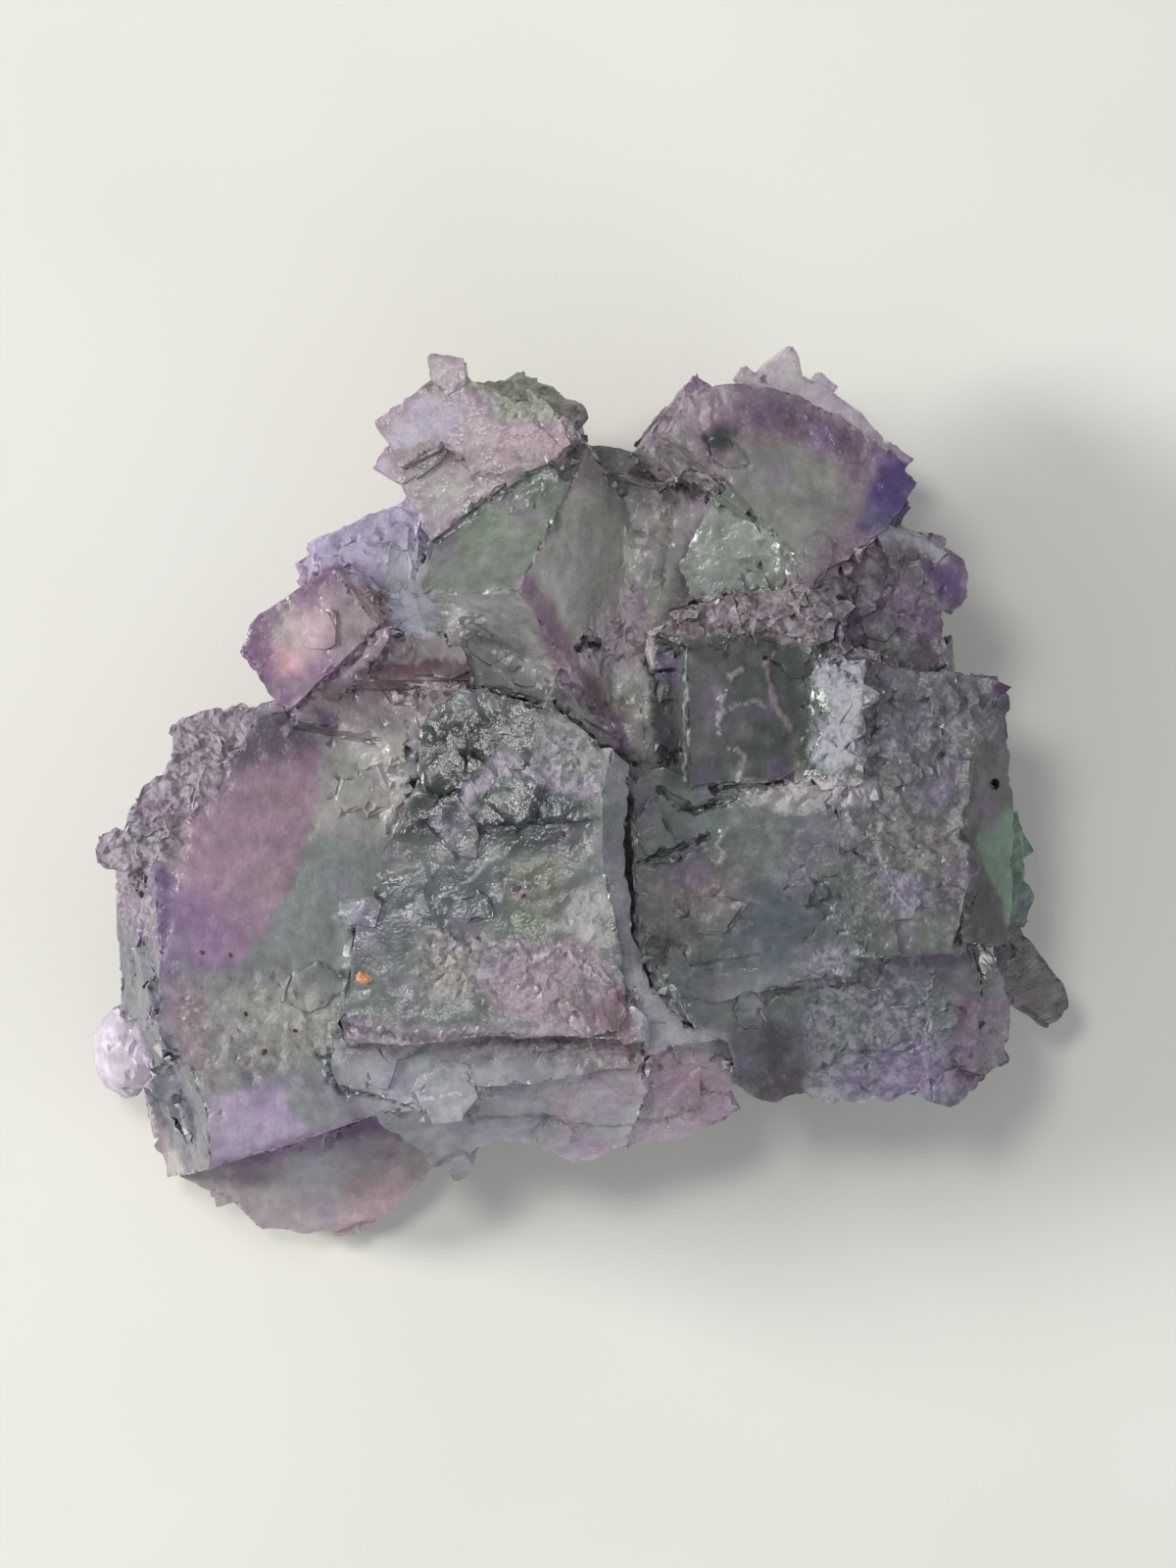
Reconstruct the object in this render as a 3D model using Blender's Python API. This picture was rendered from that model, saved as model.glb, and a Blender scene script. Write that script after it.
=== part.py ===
"""Fluorite specimen: a hand-sized cluster of cubes grown into each other, 72 mm across.

The cluster lies on its broken base, z = 0, with its display side up. All lengths are
millimetres: x runs right and y up across the display side. A crystal is given by the outline of
the face that it shows there, the height of that face and how it slopes, and it goes back from
that face at a right angle, as a cube does.
"""

import math
import random

import bmesh
import bpy
from mathutils import Matrix, Vector, noise

MM = 0.001
SEED = 19
CUTTER_SIZE = 200.0
LAYER_SINK = 2.0
LAYER_RISE = (0.1, 0.4)
LAYER_SIZE = (1.2, 3.6)
LAYER_REACH = (0.6, 1.0)
LAYER_CORNERS = 6
TOOTH_SIZE = (1.4, 4.0)
TOOTH_REACH = (0.25, 0.9)
FLANK_COUNT = 30
FLANK_SIZE = (5.0, 10.5)
FLANK_HEIGHT = (3.0, 16.0)
FLANK_SLOPE = 0.55
FLANK_SUNK = 0.3
FLANK_INSET = 0.8
LUMP_DETAIL = 3
PIT_DETAIL = 2
PIT_ROUGHNESS = 0.2
FLUORITE_COLOUR = (0.44, 0.41, 0.46, 1.0)
FLUORITE_IOR = 1.434

# Each crystal: name, bearing of its edges in degrees, height of the face at the middle of its
# outline, slope of the face to the right and upwards, depth, raised layers on the face, blocks
# along the rim, outline.
CRYSTALS = (
    ("west_cube", 17, 24.5, (-0.2, -0.08), 22.0, 3, 26,
     ((-31.1, -5.7), (-30.6, -11.4), (-30.4, -17.1), (-28.6, -20.0), (-27.3, -23.6),
      (-27.0, -27.5), (-21.4, -25.7), (-12.5, -22.9), (-10.0, -10.0), (-10.0, 5.0),
      (-12.5, 6.6), (-17.9, 5.8), (-21.4, 5.6), (-24.1, 4.6), (-25.0, 2.0), (-27.5, 1.4),
      (-28.4, -1.6), (-30.2, -2.4))),
    ("west_crust", 24, 22.2, (0.12, -0.16), 15.0, 8, 10,
     ((-33.6, -5.6), (-33.4, -2.6), (-32.1, 0.2), (-30.8, 1.0), (-30.1, 2.4), (-30.4, 4.3),
      (-29.3, 5.0), (-26.6, 5.8), (-25.0, 5.4), (-22.0, 6.4), (-21.0, 2.0), (-26.0, -6.0))),
    ("heart", 12, 30.2, (0.04, -0.03), 25.0, 5, 16,
     ((-12.0, 0.4), (-14.3, -4.3), (-16.4, -10.0), (-17.5, -16.4), (-17.1, -18.2),
      (-12.9, -18.6), (-7.1, -17.9), (-2.9, -17.9), (3.2, -18.2), (2.2, -10.7),
      (1.0, -5.0), (1.2, -1.4), (-0.4, -0.6), (-2.9, 0.6), (-6.1, 2.0), (-8.2, -0.4),
      (-9.3, -2.1))),
    ("heart_shelf", 20, 30.0, (0.05, -0.1), 23.0, 2, 5,
     ((-12.0, 0.0), (-12.1, 4.0), (-11.4, 4.9), (-8.9, 7.0), (-5.0, 6.1), (-1.8, 5.0),
      (0.0, 3.6), (1.7, 1.4), (1.4, -2.6), (-9.0, -3.0))),
    ("heart_terrace", 3, 26.6, (0.02, 0.1), 21.0, 4, 14,
     ((-18.2, -17.5), (-18.4, -19.6), (-18.0, -21.4), (-15.7, -22.1), (-12.1, -22.9),
      (-8.0, -21.6), (-3.0, -21.4), (0.4, -20.4), (3.6, -20.2), (5.6, -17.0))),
    ("south_lip", 8, 19.6, (0.05, 1.15), 12.0, 3, 10,
     ((-16.8, -21.0), (2.9, -18.8), (4.3, -22.0), (2.9, -26.1), (0.0, -27.3), (-1.4, -27.6),
      (-1.8, -25.7), (-2.5, -26.6), (-3.7, -26.1), (-7.1, -26.1), (-8.9, -27.1),
      (-9.3, -28.2), (-11.2, -28.2), (-12.1, -26.6), (-15.4, -24.4))),
    ("lilac_lobe", -14, 19.8, (-0.35, 0.75), 14.0, 4, 6,
     ((2.0, -19.0), (4.6, -18.0), (7.1, -17.1), (9.6, -18.0), (10.4, -20.7), (10.5, -22.1),
      (8.6, -24.6), (6.4, -26.1), (2.9, -26.2), (1.6, -23.0))),
    ("pillar", -86, 28.6, (-0.75, 0.12), 17.0, 0, 4,
     ((1.8, 2.6), (3.0, 1.4), (2.8, -5.0), (3.3, -10.7), (4.6, -14.3), (7.1, -17.1),
      (9.6, -18.2), (4.3, -19.3), (2.4, -16.4), (1.0, -5.0), (1.0, 0.0))),
    ("recess_step", 2, 26.6, (-0.06, -0.3), 15.0, 2, 2,
     ((-14.2, 11.1), (-8.9, 8.7), (-8.5, 7.4), (-16.6, 7.4), (-16.4, 9.2))),
    ("recess_sill", -30, 23.4, (-0.22, -0.32), 15.0, 3, 2,
     ((-11.0, 13.5), (-5.0, 13.2), (-2.1, 7.5), (2.4, 3.2), (-2.9, 6.0), (-8.2, 7.2),
      (-9.8, 11.0))),
    ("north_west_cube", 35, 24.4, (0.14, -0.12), 16.0, 2, 10,
     ((-15.5, 25.9), (-10.0, 30.0), (-7.9, 28.8), (-1.6, 26.3), (-0.7, 24.9), (-2.5, 22.9),
      (-5.6, 21.7), (-8.2, 22.1), (-8.9, 23.4), (-10.4, 24.0), (-13.4, 22.6))),
    ("north_west_step", 35, 23.0, (0.16, -0.16), 15.0, 2, 4,
     ((-14.8, 24.2), (-10.0, 26.0), (-2.0, 25.0), (-1.6, 22.0), (-7.1, 20.7), (-11.2, 17.3),
      (-13.5, 21.4))),
    ("upper_small_cube", 27, 23.2, (-0.12, -0.14), 11.5, 3, 6,
     ((-19.7, 15.1), (-19.7, 16.5), (-18.6, 17.9), (-15.7, 19.5), (-13.4, 20.1),
      (-12.1, 19.2), (-12.2, 14.4), (-14.3, 13.6), (-18.2, 14.2))),
    ("frost_strip", -70, 22.6, (0.55, -0.1), 13.0, 2, 2,
     ((-14.9, 17.6), (-13.2, 17.4), (-10.9, 11.6), (-13.0, 9.6), (-13.8, 12.8))),
    ("lower_small_cube", 32, 27.2, (0.3, 0.1), 10.0, 1, 3,
     ((-24.8, 9.4), (-24.0, 11.8), (-18.1, 15.5), (-14.8, 11.2), (-18.6, 7.6), (-21.4, 5.1),
      (-22.5, 6.1))),
    ("blade", 35, 26.0, (0.2, 0.9), 1.6, 0, 0,
     ((-21.8, 5.1), (-19.6, 4.6), (-16.0, 7.4), (-13.9, 10.4), (-18.0, 7.4))),
    ("pink_shelf", 6, 24.6, (-0.12, -0.22), 15.0, 4, 2,
     ((-20.0, 7.0), (-8.6, 7.2), (-8.0, 4.0), (-14.0, 3.2), (-21.0, 4.4))),
    ("north_east_cube", -38, 27.4, (-0.16, -0.12), 18.0, 2, 12,
     ((6.3, 26.3), (6.9, 27.9), (9.9, 28.6), (14.3, 28.0), (17.9, 26.4), (21.6, 23.7),
      (23.6, 21.5), (22.5, 19.6), (21.4, 18.2), (18.9, 16.1), (15.6, 14.8), (14.3, 16.9),
      (9.8, 21.6), (5.4, 24.8))),
    ("yellow_corner", -57, 24.6, (0.42, 0.1), 13.0, 0, 0,
     ((9.9, 22.0), (6.4, 15.8), (7.1, 13.2), (11.4, 13.0), (15.6, 14.6), (15.0, 18.0))),
    ("violet_knob", -12, 25.0, (-0.28, 0.2), 11.0, 2, 5,
     ((20.2, 18.6), (22.0, 18.4), (25.6, 17.0), (26.4, 16.0), (26.2, 12.8), (24.9, 12.6),
      (22.4, 13.4))),
    ("east_shoulder", -14, 25.0, (-0.1, -0.1), 17.0, 7, 8,
     ((15.4, 15.0), (18.0, 17.0), (21.8, 18.0), (25.0, 16.6), (25.4, 12.8), (25.8, 8.4),
      (21.4, 7.0), (17.1, 7.6), (16.0, 11.0))),
    ("dark_cube", 4, 27.4, (-0.24, 0.02), 18.0, 1, 4,
     ((6.9, 9.8), (10.7, 11.2), (16.6, 10.2), (17.2, 0.2), (11.4, 0.0), (7.2, -0.4))),
    ("pink_ledge", 6, 27.6, (-0.02, -0.14), 15.0, 9, 6,
     ((6.2, 12.4), (11.6, 13.8), (16.9, 13.0), (17.3, 9.8), (12.6, 10.8), (7.0, 9.4),
      (4.7, 10.7))),
    ("frost_face", -78, 29.2, (0.62, -0.06), 15.0, 5, 4,
     ((15.2, 0.6), (16.4, 4.0), (17.2, 8.6), (19.6, 8.9), (19.4, 5.0), (18.4, 1.0))),
    ("east_cube", -6, 29.4, (-0.1, -0.05), 20.0, 9, 12,
     ((18.6, 1.0), (19.2, 4.4), (19.6, 8.8), (25.7, 7.9), (28.6, 7.5), (30.1, 6.9),
      (27.6, 4.2), (26.9, -2.1), (26.8, -8.0), (26.0, -12.0), (19.0, -12.4), (17.4, -4.0))),
    ("east_side", -84, 24.2, (-1.25, 0.1), 13.0, 2, 8,
     ((29.2, 7.2), (30.2, 6.8), (30.1, 2.9), (30.4, 0.0), (30.6, -4.0), (30.4, -11.8),
      (26.6, -11.6), (26.6, 4.0))),
    ("green_heart", 10, 27.2, (0.05, 0.14), 19.0, 6, 6,
     ((2.8, 0.6), (5.4, 1.2), (9.0, -0.6), (17.2, 0.0), (18.0, -5.0), (19.4, -12.0),
      (16.0, -14.2), (9.0, -15.6), (5.8, -14.8), (3.4, -10.7))),
    ("south_east_cube", 6, 22.8, (-0.1, 0.5), 19.0, 7, 14,
     ((4.8, -13.6), (10.0, -12.4), (19.6, -10.4), (26.4, -10.2), (28.4, -14.6),
      (28.0, -18.4), (27.4, -20.4), (24.0, -22.0), (21.8, -22.8), (19.3, -23.2),
      (16.8, -23.2), (15.6, -22.4), (12.9, -23.2), (11.8, -22.9), (10.8, -21.4),
      (10.0, -18.6), (7.1, -17.1))),
    ("lilac_end", -66, 20.6, (-0.7, 0.3), 12.0, 3, 6,
     ((26.2, -10.6), (29.0, -11.8), (30.6, -15.7), (30.8, -17.1), (30.5, -18.6),
      (28.9, -20.4), (28.6, -21.4), (26.8, -22.0), (24.6, -22.4), (24.2, -18.0))),
    ("pale_plate", -38, 13.5, (-0.1, 0.05), 3.6, 1, 4,
     ((11.1, 29.4), (12.1, 29.6), (13.2, 30.7), (14.9, 32.0), (15.4, 31.3), (15.7, 29.8),
      (17.9, 28.6), (20.0, 27.1), (21.8, 25.0), (22.9, 23.8), (22.4, 22.8), (18.0, 20.0),
      (10.0, 24.0))),
    ("green_chip", -62, 12.8, (-0.35, 0.2), 4.2, 0, 3,
     ((27.9, -1.1), (29.6, -0.9), (31.4, -2.4), (32.0, -4.3), (32.1, -7.1), (32.7, -8.2),
      (32.2, -10.7), (30.4, -11.4), (27.4, -8.0))),
    ("east_shard", -48, 9.9, (-0.45, 0.25), 2.6, 0, 2,
     ((28.4, -8.6), (31.6, -10.4), (33.9, -13.2), (35.0, -14.6), (35.7, -16.4),
      (35.4, -16.9), (33.2, -17.5), (31.4, -16.4), (28.0, -13.4))),
    ("base_slab", 12, 6.6, (0.04, 0.16), 6.6, 3, 8,
     ((-32.9, -22.0), (-32.1, -26.8), (-30.7, -28.9), (-28.2, -30.1), (-26.1, -31.4),
      (-24.6, -33.0), (-20.7, -33.4), (-18.6, -33.2), (-15.0, -32.1), (-13.4, -30.7),
      (-12.1, -29.3), (-11.2, -27.6), (-9.0, -22.0), (-28.0, -18.0))),
)

# The edges that leave the nearest corner of the north cube, seen from above.
NORTH_CORNER = (-4.9, 13.6, 30.4)
NORTH_BEARINGS = (65, -55, 180)
NORTH_SIZE = (13.6, 18.0, 10.0)

# The body under the display side: name, bearing, top height, slope, depth, 0, rim blocks, outline.
BASE = (
    ("base_west", 20, 18.0, (-0.1, 0.05), 21.0, 0, 6,
     ((-31.5, -4.0), (-30.6, -20.0), (-26.0, -25.6), (-8.0, -22.0), (-8.0, 4.0),
      (-26.0, 3.2))),
    ("base_middle", -8, 20.0, (0.0, 0.0), 24.0, 0, 6,
     ((-16.0, 6.0), (-14.0, -23.0), (8.0, -23.4), (10.0, 6.0))),
    ("base_north", 30, 19.0, (0.05, -0.1), 23.0, 0, 5,
     ((-16.6, 6.0), (-12.0, 21.4), (-2.0, 23.4), (8.6, 21.0), (6.0, 0.0), (-14.0, 0.0))),
    ("base_north_east", -34, 19.6, (-0.1, 0.0), 22.0, 0, 5,
     ((4.0, 4.0), (6.4, 22.4), (13.0, 25.0), (21.0, 17.6), (24.0, 8.0), (22.0, 0.0))),
    ("base_east", 8, 20.0, (-0.12, 0.08), 23.0, 0, 6,
     ((4.0, 6.0), (24.6, 8.0), (28.4, -6.0), (26.0, -18.0), (12.0, -20.4), (4.0, -20.0))),
)

# Small lumps and crumbs: name, centre, radii, roughness.
LUMPS = (
    ("green_crumb", (-5.2, 27.4, 19.0), (3.6, 2.2, 3.2), 0.5),
    ("green_crumb_foot", (-3.4, 26.0, 17.0), (3.4, 2.4, 5.0), 0.4),
    ("west_nub", (-34.0, -19.6, 8.4), (2.5, 3.4, 3.4), 0.15),
)

# Pits and cracks: name, centre, radii, turn in degrees.
PITS = (
    ("black_pit", (-0.1, 10.0, 24.6), (0.55, 0.5, 2.4), 0),
    ("east_pit", (29.1, 0.0, 25.4), (0.35, 0.3, 1.4), 0),
    ("dark_crack_west", (6.4, -1.2, 27.4), (1.9, 0.24, 1.5), -34),
    ("dark_crack_east", (9.0, -1.4, 27.8), (1.7, 0.2, 1.4), 20),
    ("lower_crack", (6.0, -4.7, 27.0), (2.8, 0.22, 1.3), 20),
)


def clear_scene():
    for obj in list(bpy.data.objects):
        bpy.data.objects.remove(obj, do_unlink=True)


def link(name, bm, collection):
    """Makes a named object from a bmesh whose lengths are millimetres."""
    bmesh.ops.recalc_face_normals(bm, faces=bm.faces)
    bmesh.ops.scale(bm, vec=(MM, MM, MM), verts=bm.verts)
    mesh = bpy.data.meshes.new(name)
    bm.to_mesh(mesh)
    bm.free()
    obj = bpy.data.objects.new(name, mesh)
    collection.objects.link(obj)
    return obj


def face_normal(slope):
    return Vector((-slope[0], -slope[1], 1.0)).normalized()


def crystal_axes(bearing, slope):
    """The two edge directions in a crystal's face, and the face's normal."""
    normal = face_normal(slope)
    turn = math.radians(bearing)
    along = Vector((math.cos(turn), math.sin(turn), 0.0))
    along = (along - normal * along.dot(normal)).normalized()
    return along, normal.cross(along), normal


def face_points(outline, height, slope):
    """The outline lifted onto the crystal's sloping face."""
    middle = sum((Vector(p) for p in outline), Vector((0.0, 0.0))) / len(outline)
    return [
        Vector((x, y, height + slope[0] * (x - middle.x) + slope[1] * (y - middle.y)))
        for x, y in outline
    ]


def prism(name, points, back, collection):
    """A flat outline of 3-D points swept along back."""
    bm = bmesh.new()
    face = bm.faces.new([bm.verts.new(p) for p in points])
    swept = bmesh.ops.extrude_face_region(bm, geom=[face], use_keep_orig=True)
    moved = [v for v in swept["geom"] if isinstance(v, bmesh.types.BMVert)]
    bmesh.ops.translate(bm, vec=back, verts=moved)
    return link(name, bm, collection)


def block(name, centre, size, axes, collection):
    """A small cuboid turned onto a crystal's axes."""
    bm = bmesh.new()
    bmesh.ops.create_cube(bm, size=1.0)
    bmesh.ops.scale(bm, vec=size, verts=bm.verts)
    matrix = Matrix(axes).transposed().to_4x4()
    matrix.translation = centre
    bmesh.ops.transform(bm, matrix=matrix, verts=bm.verts)
    return link(name, bm, collection)


def is_inside(x, y, outline):
    """Whether a point lies inside an outline, by counting the edges that a ray crosses."""
    inside = False
    for (ax, ay), (bx, by) in zip(outline, outline[1:] + outline[:1]):
        if (ay > y) != (by > y) and x < ax + (y - ay) * (bx - ax) / (by - ay):
            inside = not inside
    return inside


def raised_layers(name, count, outline, points, axes, collection):
    """Broken plates of the next growth layer, which stand a little above a crystal's face."""
    along, across, normal = axes
    xs, ys = [p.x for p in points], [p.y for p in points]
    made = 0
    while made < count:
        x, y = random.uniform(min(xs), max(xs)), random.uniform(min(ys), max(ys))
        if not is_inside(x, y, outline):
            continue
        start = points[0]
        lift = start.z - (normal.x * (x - start.x) + normal.y * (y - start.y)) / normal.z
        centre = Vector((x, y, lift)) + normal * random.uniform(*LAYER_RISE)
        length, width = random.uniform(*LAYER_SIZE), random.uniform(*LAYER_SIZE)
        corners = []
        for index in range(LAYER_CORNERS):
            turn = 2 * math.pi * (index + random.uniform(-0.35, 0.35)) / LAYER_CORNERS
            reach = random.uniform(*LAYER_REACH)
            corners.append(
                centre
                + along * (length * reach * math.cos(turn))
                + across * (width * reach * math.sin(turn))
            )
        prism(f"{name}_layer_{made}", corners, -normal * LAYER_SINK, collection)
        made += 1


def rim_blocks(name, count, points, depth, axes, collection):
    """Blocks that step out from a crystal's sides, as parallel growth leaves them."""
    normal = axes[2]
    for index in range(count):
        edge = random.randrange(len(points))
        start, end = points[edge], points[(edge + 1) % len(points)]
        at = start.lerp(end, random.random())
        outward = (end - start).cross(normal).normalized()
        reach = random.uniform(*TOOTH_REACH)
        size = [random.uniform(*TOOTH_SIZE) for _ in range(3)]
        sunk = random.uniform(size[2] / 2 + 0.2, max(size[2] / 2 + 0.3, depth * 0.75))
        inset = max(size[0], size[1]) / 2 - reach
        centre = at - normal * sunk - outward * inset
        block(f"{name}_step_{index}", centre, size, axes, collection)


def grow(row, collection):
    """A crystal of one of the tables with the blocks that stand out from it."""
    name, bearing, height, slope, depth, layers, steps, outline = row
    points = face_points(outline, height, slope)
    turn = sum(
        a.x * b.y - b.x * a.y for a, b in zip(points, points[1:] + points[:1])
    )
    if turn < 0:
        points.reverse()
    axes = crystal_axes(bearing, slope)
    prism(name, points, -axes[2] * depth, collection)
    raised_layers(name, layers, outline, points, axes, collection)
    rim_blocks(name, steps, points, depth, axes, collection)


def reach_of_base(heading):
    """How far the base goes from the middle along a heading in radians."""
    ray = Vector((math.cos(heading), math.sin(heading)))
    far = 0.0
    for *_, outline in BASE:
        for start, end in zip(outline, outline[1:] + outline[:1]):
            start, side = Vector(start), Vector(end) - Vector(start)
            across = ray.cross(side)
            if abs(across) > 1e-9 and 0.0 <= start.cross(ray) / across <= 1.0:
                far = max(far, start.cross(side) / across)
    return far


def flank_cubes(collection):
    """Cubes that lean out of the flanks in all directions, round the whole cluster."""
    for index in range(FLANK_COUNT):
        heading = 2 * math.pi * (index + random.uniform(-0.3, 0.3)) / FLANK_COUNT
        size = random.uniform(*FLANK_SIZE)
        distance = reach_of_base(heading) - FLANK_INSET - FLANK_SUNK * size
        centre = Vector((
            distance * math.cos(heading),
            distance * math.sin(heading),
            random.uniform(*FLANK_HEIGHT),
        ))
        slope = [random.uniform(-FLANK_SLOPE, FLANK_SLOPE) for _ in range(2)]
        axes = crystal_axes(random.uniform(0, 90), slope)
        block(f"flank_cube_{index}", centre, (size, size, size), axes, collection)


def corner_axes(bearings):
    """Directions of the three edges that leave a cube's nearest corner.

    Right angles between them fix how steeply each edge goes back from its bearing.
    """
    turns = [math.radians(b) for b in bearings]
    shares = [
        abs(math.sin(2 * (turns[(i + 1) % 3] - turns[(i + 2) % 3]))) for i in range(3)
    ]
    axes = []
    for turn, share in zip(turns, shares):
        flat = math.sqrt(2 * share / sum(shares))
        axes.append(
            Vector((flat * math.cos(turn), flat * math.sin(turn), -math.sqrt(1 - flat**2)))
        )
    return axes


def north_cube(collection):
    """The cube that shows three faces, round the corner nearest to the viewer."""
    axes = corner_axes(NORTH_BEARINGS)
    centre = Vector(NORTH_CORNER) + sum(
        (axis * length / 2 for axis, length in zip(axes, NORTH_SIZE)), Vector()
    )
    return block("north_cube", centre, NORTH_SIZE, axes, collection)


def lump(name, centre, radii, roughness, detail, collection, turn=0.0):
    """A rounded or crumbly lump."""
    bm = bmesh.new()
    bmesh.ops.create_icosphere(bm, subdivisions=detail, radius=1.0)
    for vert in bm.verts:
        bump = 1.0 + roughness * noise.noise(vert.co * 2.3 + Vector(centre))
        vert.co = Vector([radius * value * bump for radius, value in zip(radii, vert.co)])
    matrix = Matrix.Translation(centre) @ Matrix.Rotation(math.radians(turn), 4, "Z")
    bmesh.ops.transform(bm, matrix=matrix, verts=bm.verts)
    return link(name, bm, collection)


def fluorite_material():
    material = bpy.data.materials.new("fluorite")
    material.use_nodes = True
    shader = material.node_tree.nodes["Principled BSDF"]
    shader.inputs["Base Color"].default_value = FLUORITE_COLOUR
    shader.inputs["Roughness"].default_value = 0.25
    shader.inputs["IOR"].default_value = FLUORITE_IOR
    return material


def hidden_collection(name):
    collection = bpy.data.collections.new(name)
    collection.hide_render = True
    bpy.context.scene.collection.children.link(collection)
    return collection


def add_boolean(obj, name, operation, collection):
    """Joins or cuts with every object of a collection, which are hidden from the render."""
    for other in collection.objects:
        other.hide_render = True
        other.display_type = "WIRE"
    modifier = obj.modifiers.new(name, "BOOLEAN")
    modifier.operation = operation
    modifier.operand_type = "COLLECTION"
    modifier.collection = collection
    modifier.solver = "EXACT"


def build():
    random.seed(SEED)
    clear_scene()
    home = bpy.context.scene.collection
    grown = hidden_collection("grown_together")
    cut = hidden_collection("cut_away")
    cluster = north_cube(home)
    cluster.name = "fluorite_cluster"
    for row in CRYSTALS + BASE:
        grow(row, grown)
    flank_cubes(grown)
    for name, centre, radii, roughness in LUMPS:
        lump(name, centre, radii, roughness, LUMP_DETAIL, grown)
    for name, centre, radii, turn in PITS:
        lump(name, centre, radii, PIT_ROUGHNESS, PIT_DETAIL, cut, turn)
    flat = Matrix.Identity(3)
    below = Vector((0.0, 0.0, -CUTTER_SIZE / 2))
    block("resting_plane", below, (CUTTER_SIZE,) * 3, flat, cut)
    add_boolean(cluster, "join", "UNION", grown)
    add_boolean(cluster, "pits_and_base", "DIFFERENCE", cut)
    cluster.data.materials.append(fluorite_material())


build()
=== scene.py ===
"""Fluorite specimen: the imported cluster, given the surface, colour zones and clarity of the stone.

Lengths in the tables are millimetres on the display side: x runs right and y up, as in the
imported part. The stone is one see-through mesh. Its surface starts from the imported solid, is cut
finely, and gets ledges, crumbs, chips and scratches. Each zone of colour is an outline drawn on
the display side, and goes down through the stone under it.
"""

import math
import random

import bmesh
import bpy
import numpy as np
from mathutils import Matrix, Vector, noise
from mathutils.bvhtree import BVHTree


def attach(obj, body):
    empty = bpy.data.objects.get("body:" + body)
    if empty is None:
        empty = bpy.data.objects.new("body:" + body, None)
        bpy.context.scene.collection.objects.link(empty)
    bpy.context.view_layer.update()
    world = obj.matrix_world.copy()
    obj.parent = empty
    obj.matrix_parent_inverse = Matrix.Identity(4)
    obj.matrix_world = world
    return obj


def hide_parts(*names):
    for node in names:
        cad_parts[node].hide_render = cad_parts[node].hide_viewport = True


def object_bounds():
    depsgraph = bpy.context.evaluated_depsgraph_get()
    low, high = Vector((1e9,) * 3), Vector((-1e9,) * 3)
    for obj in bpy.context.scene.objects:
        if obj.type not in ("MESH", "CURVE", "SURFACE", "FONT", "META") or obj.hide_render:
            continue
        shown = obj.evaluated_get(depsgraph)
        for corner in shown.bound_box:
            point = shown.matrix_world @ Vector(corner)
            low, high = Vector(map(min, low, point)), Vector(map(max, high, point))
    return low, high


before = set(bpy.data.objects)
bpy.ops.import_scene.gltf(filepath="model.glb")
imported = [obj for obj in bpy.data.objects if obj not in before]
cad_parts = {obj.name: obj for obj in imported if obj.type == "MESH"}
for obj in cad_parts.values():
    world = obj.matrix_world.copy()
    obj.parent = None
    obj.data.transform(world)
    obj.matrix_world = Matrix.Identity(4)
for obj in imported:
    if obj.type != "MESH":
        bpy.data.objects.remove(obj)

MM = 0.001
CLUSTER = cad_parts["fluorite_cluster"]
CAD_BOX = [[float(v) for v in corner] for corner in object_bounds()]
CAD_LOW, CAD_HIGH = (np.array(corner) / MM for corner in CAD_BOX)
SEED = 5

# How finely the surface is cut: the longest edges, in mm, on what faces up, on the sides above
# HIDDEN_HEIGHT, below it, and near a vein or crack.
TOP_EDGE = 0.58
SIDE_EDGE = 0.9
HIDDEN_EDGE = 1.3
STROKE_EDGE = 0.3
STROKE_NEAR = 0.45
HIDDEN_HEIGHT = 11.0
CUT_LENGTHS = (8.0, 4.0, 2.0, 1.1, 0.7, 0.0)
SAME_POINT = 0.002
SAME_PLANE = math.radians(1.0)

# Narrow clefts between crystals are healed: those under twice the radius wide, to this depth.
HEAL_PITCH = 0.4
HEAL_RADIUS = 1.7
HEAL_DEPTH = 0.5
HEAL_LOWEST = 3.0
HEAL_RIM = 6
HEAL_MOST = 6.0

# The surface's own relief, in mm. Blocks are height, size along each axis, turn and offset.
LEDGE_BLOCKS = (
    (0.26, (3.4, 1.2, 2.0), 24, 0.0),
    (0.18, (0.9, 2.6, 1.4), 24, 5.3),
    (0.12, (1.5, 0.5, 0.8), 38, 9.1),
)
CRUMB_BLOCKS = (
    (0.2, 1.0, 24, 2.2),
    (0.22, 0.6, 52, 6.4),
)
FINE_HEIGHT = 0.05
SWELL_HEIGHT = 0.12
CHIP_DEPTH = 0.55
SHARP_ANGLE = math.radians(24)
EDGE_ANGLE = math.radians(30)
KEEP_IN = 0.02
BASE_FREE = 0.6

# How the outlines of zones and strokes wander, and how far a zone tints what lies beside it.
ZONE_WARP = 0.5
ZONE_SOFT = 1.3
ZONE_REACH = 2.0
STROKE_WARP = 0.3
TINT_STRENGTH = 0.8

# Faint clouds through the whole stone: size, offset, share and colour.
CLOUDS = (
    (3.0, 71.0, 0.26, (140, 105, 160)),
    (4.2, 83.0, 0.22, (110, 135, 112)),
    (1.4, 91.0, 0.18, (186, 180, 186)),
    (1.9, 97.0, 0.22, (74, 76, 82)),
)

# Clear body: clarity is the share of light that goes in.
FLUORITE_IOR = 1.434
CLARITY = 0.5
BODY_COLOUR = (170, 172, 178)
BODY_DENSITY = 30.0
BODY_GAIN = 1.4

FLOOR_LOW, FLOOR_HIGH = (214, 213, 205), (219, 218, 211)
FLOOR_SIZE = 3.0
FLOOR_GAP = 0.00002
KEY_POWER = 4.6
TOP_POWER = 1.6
FILL_POWER = 1.6
SKY_STRENGTH = 0.45
CAMERA_HEIGHT = 0.522
LENS = 160

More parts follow.
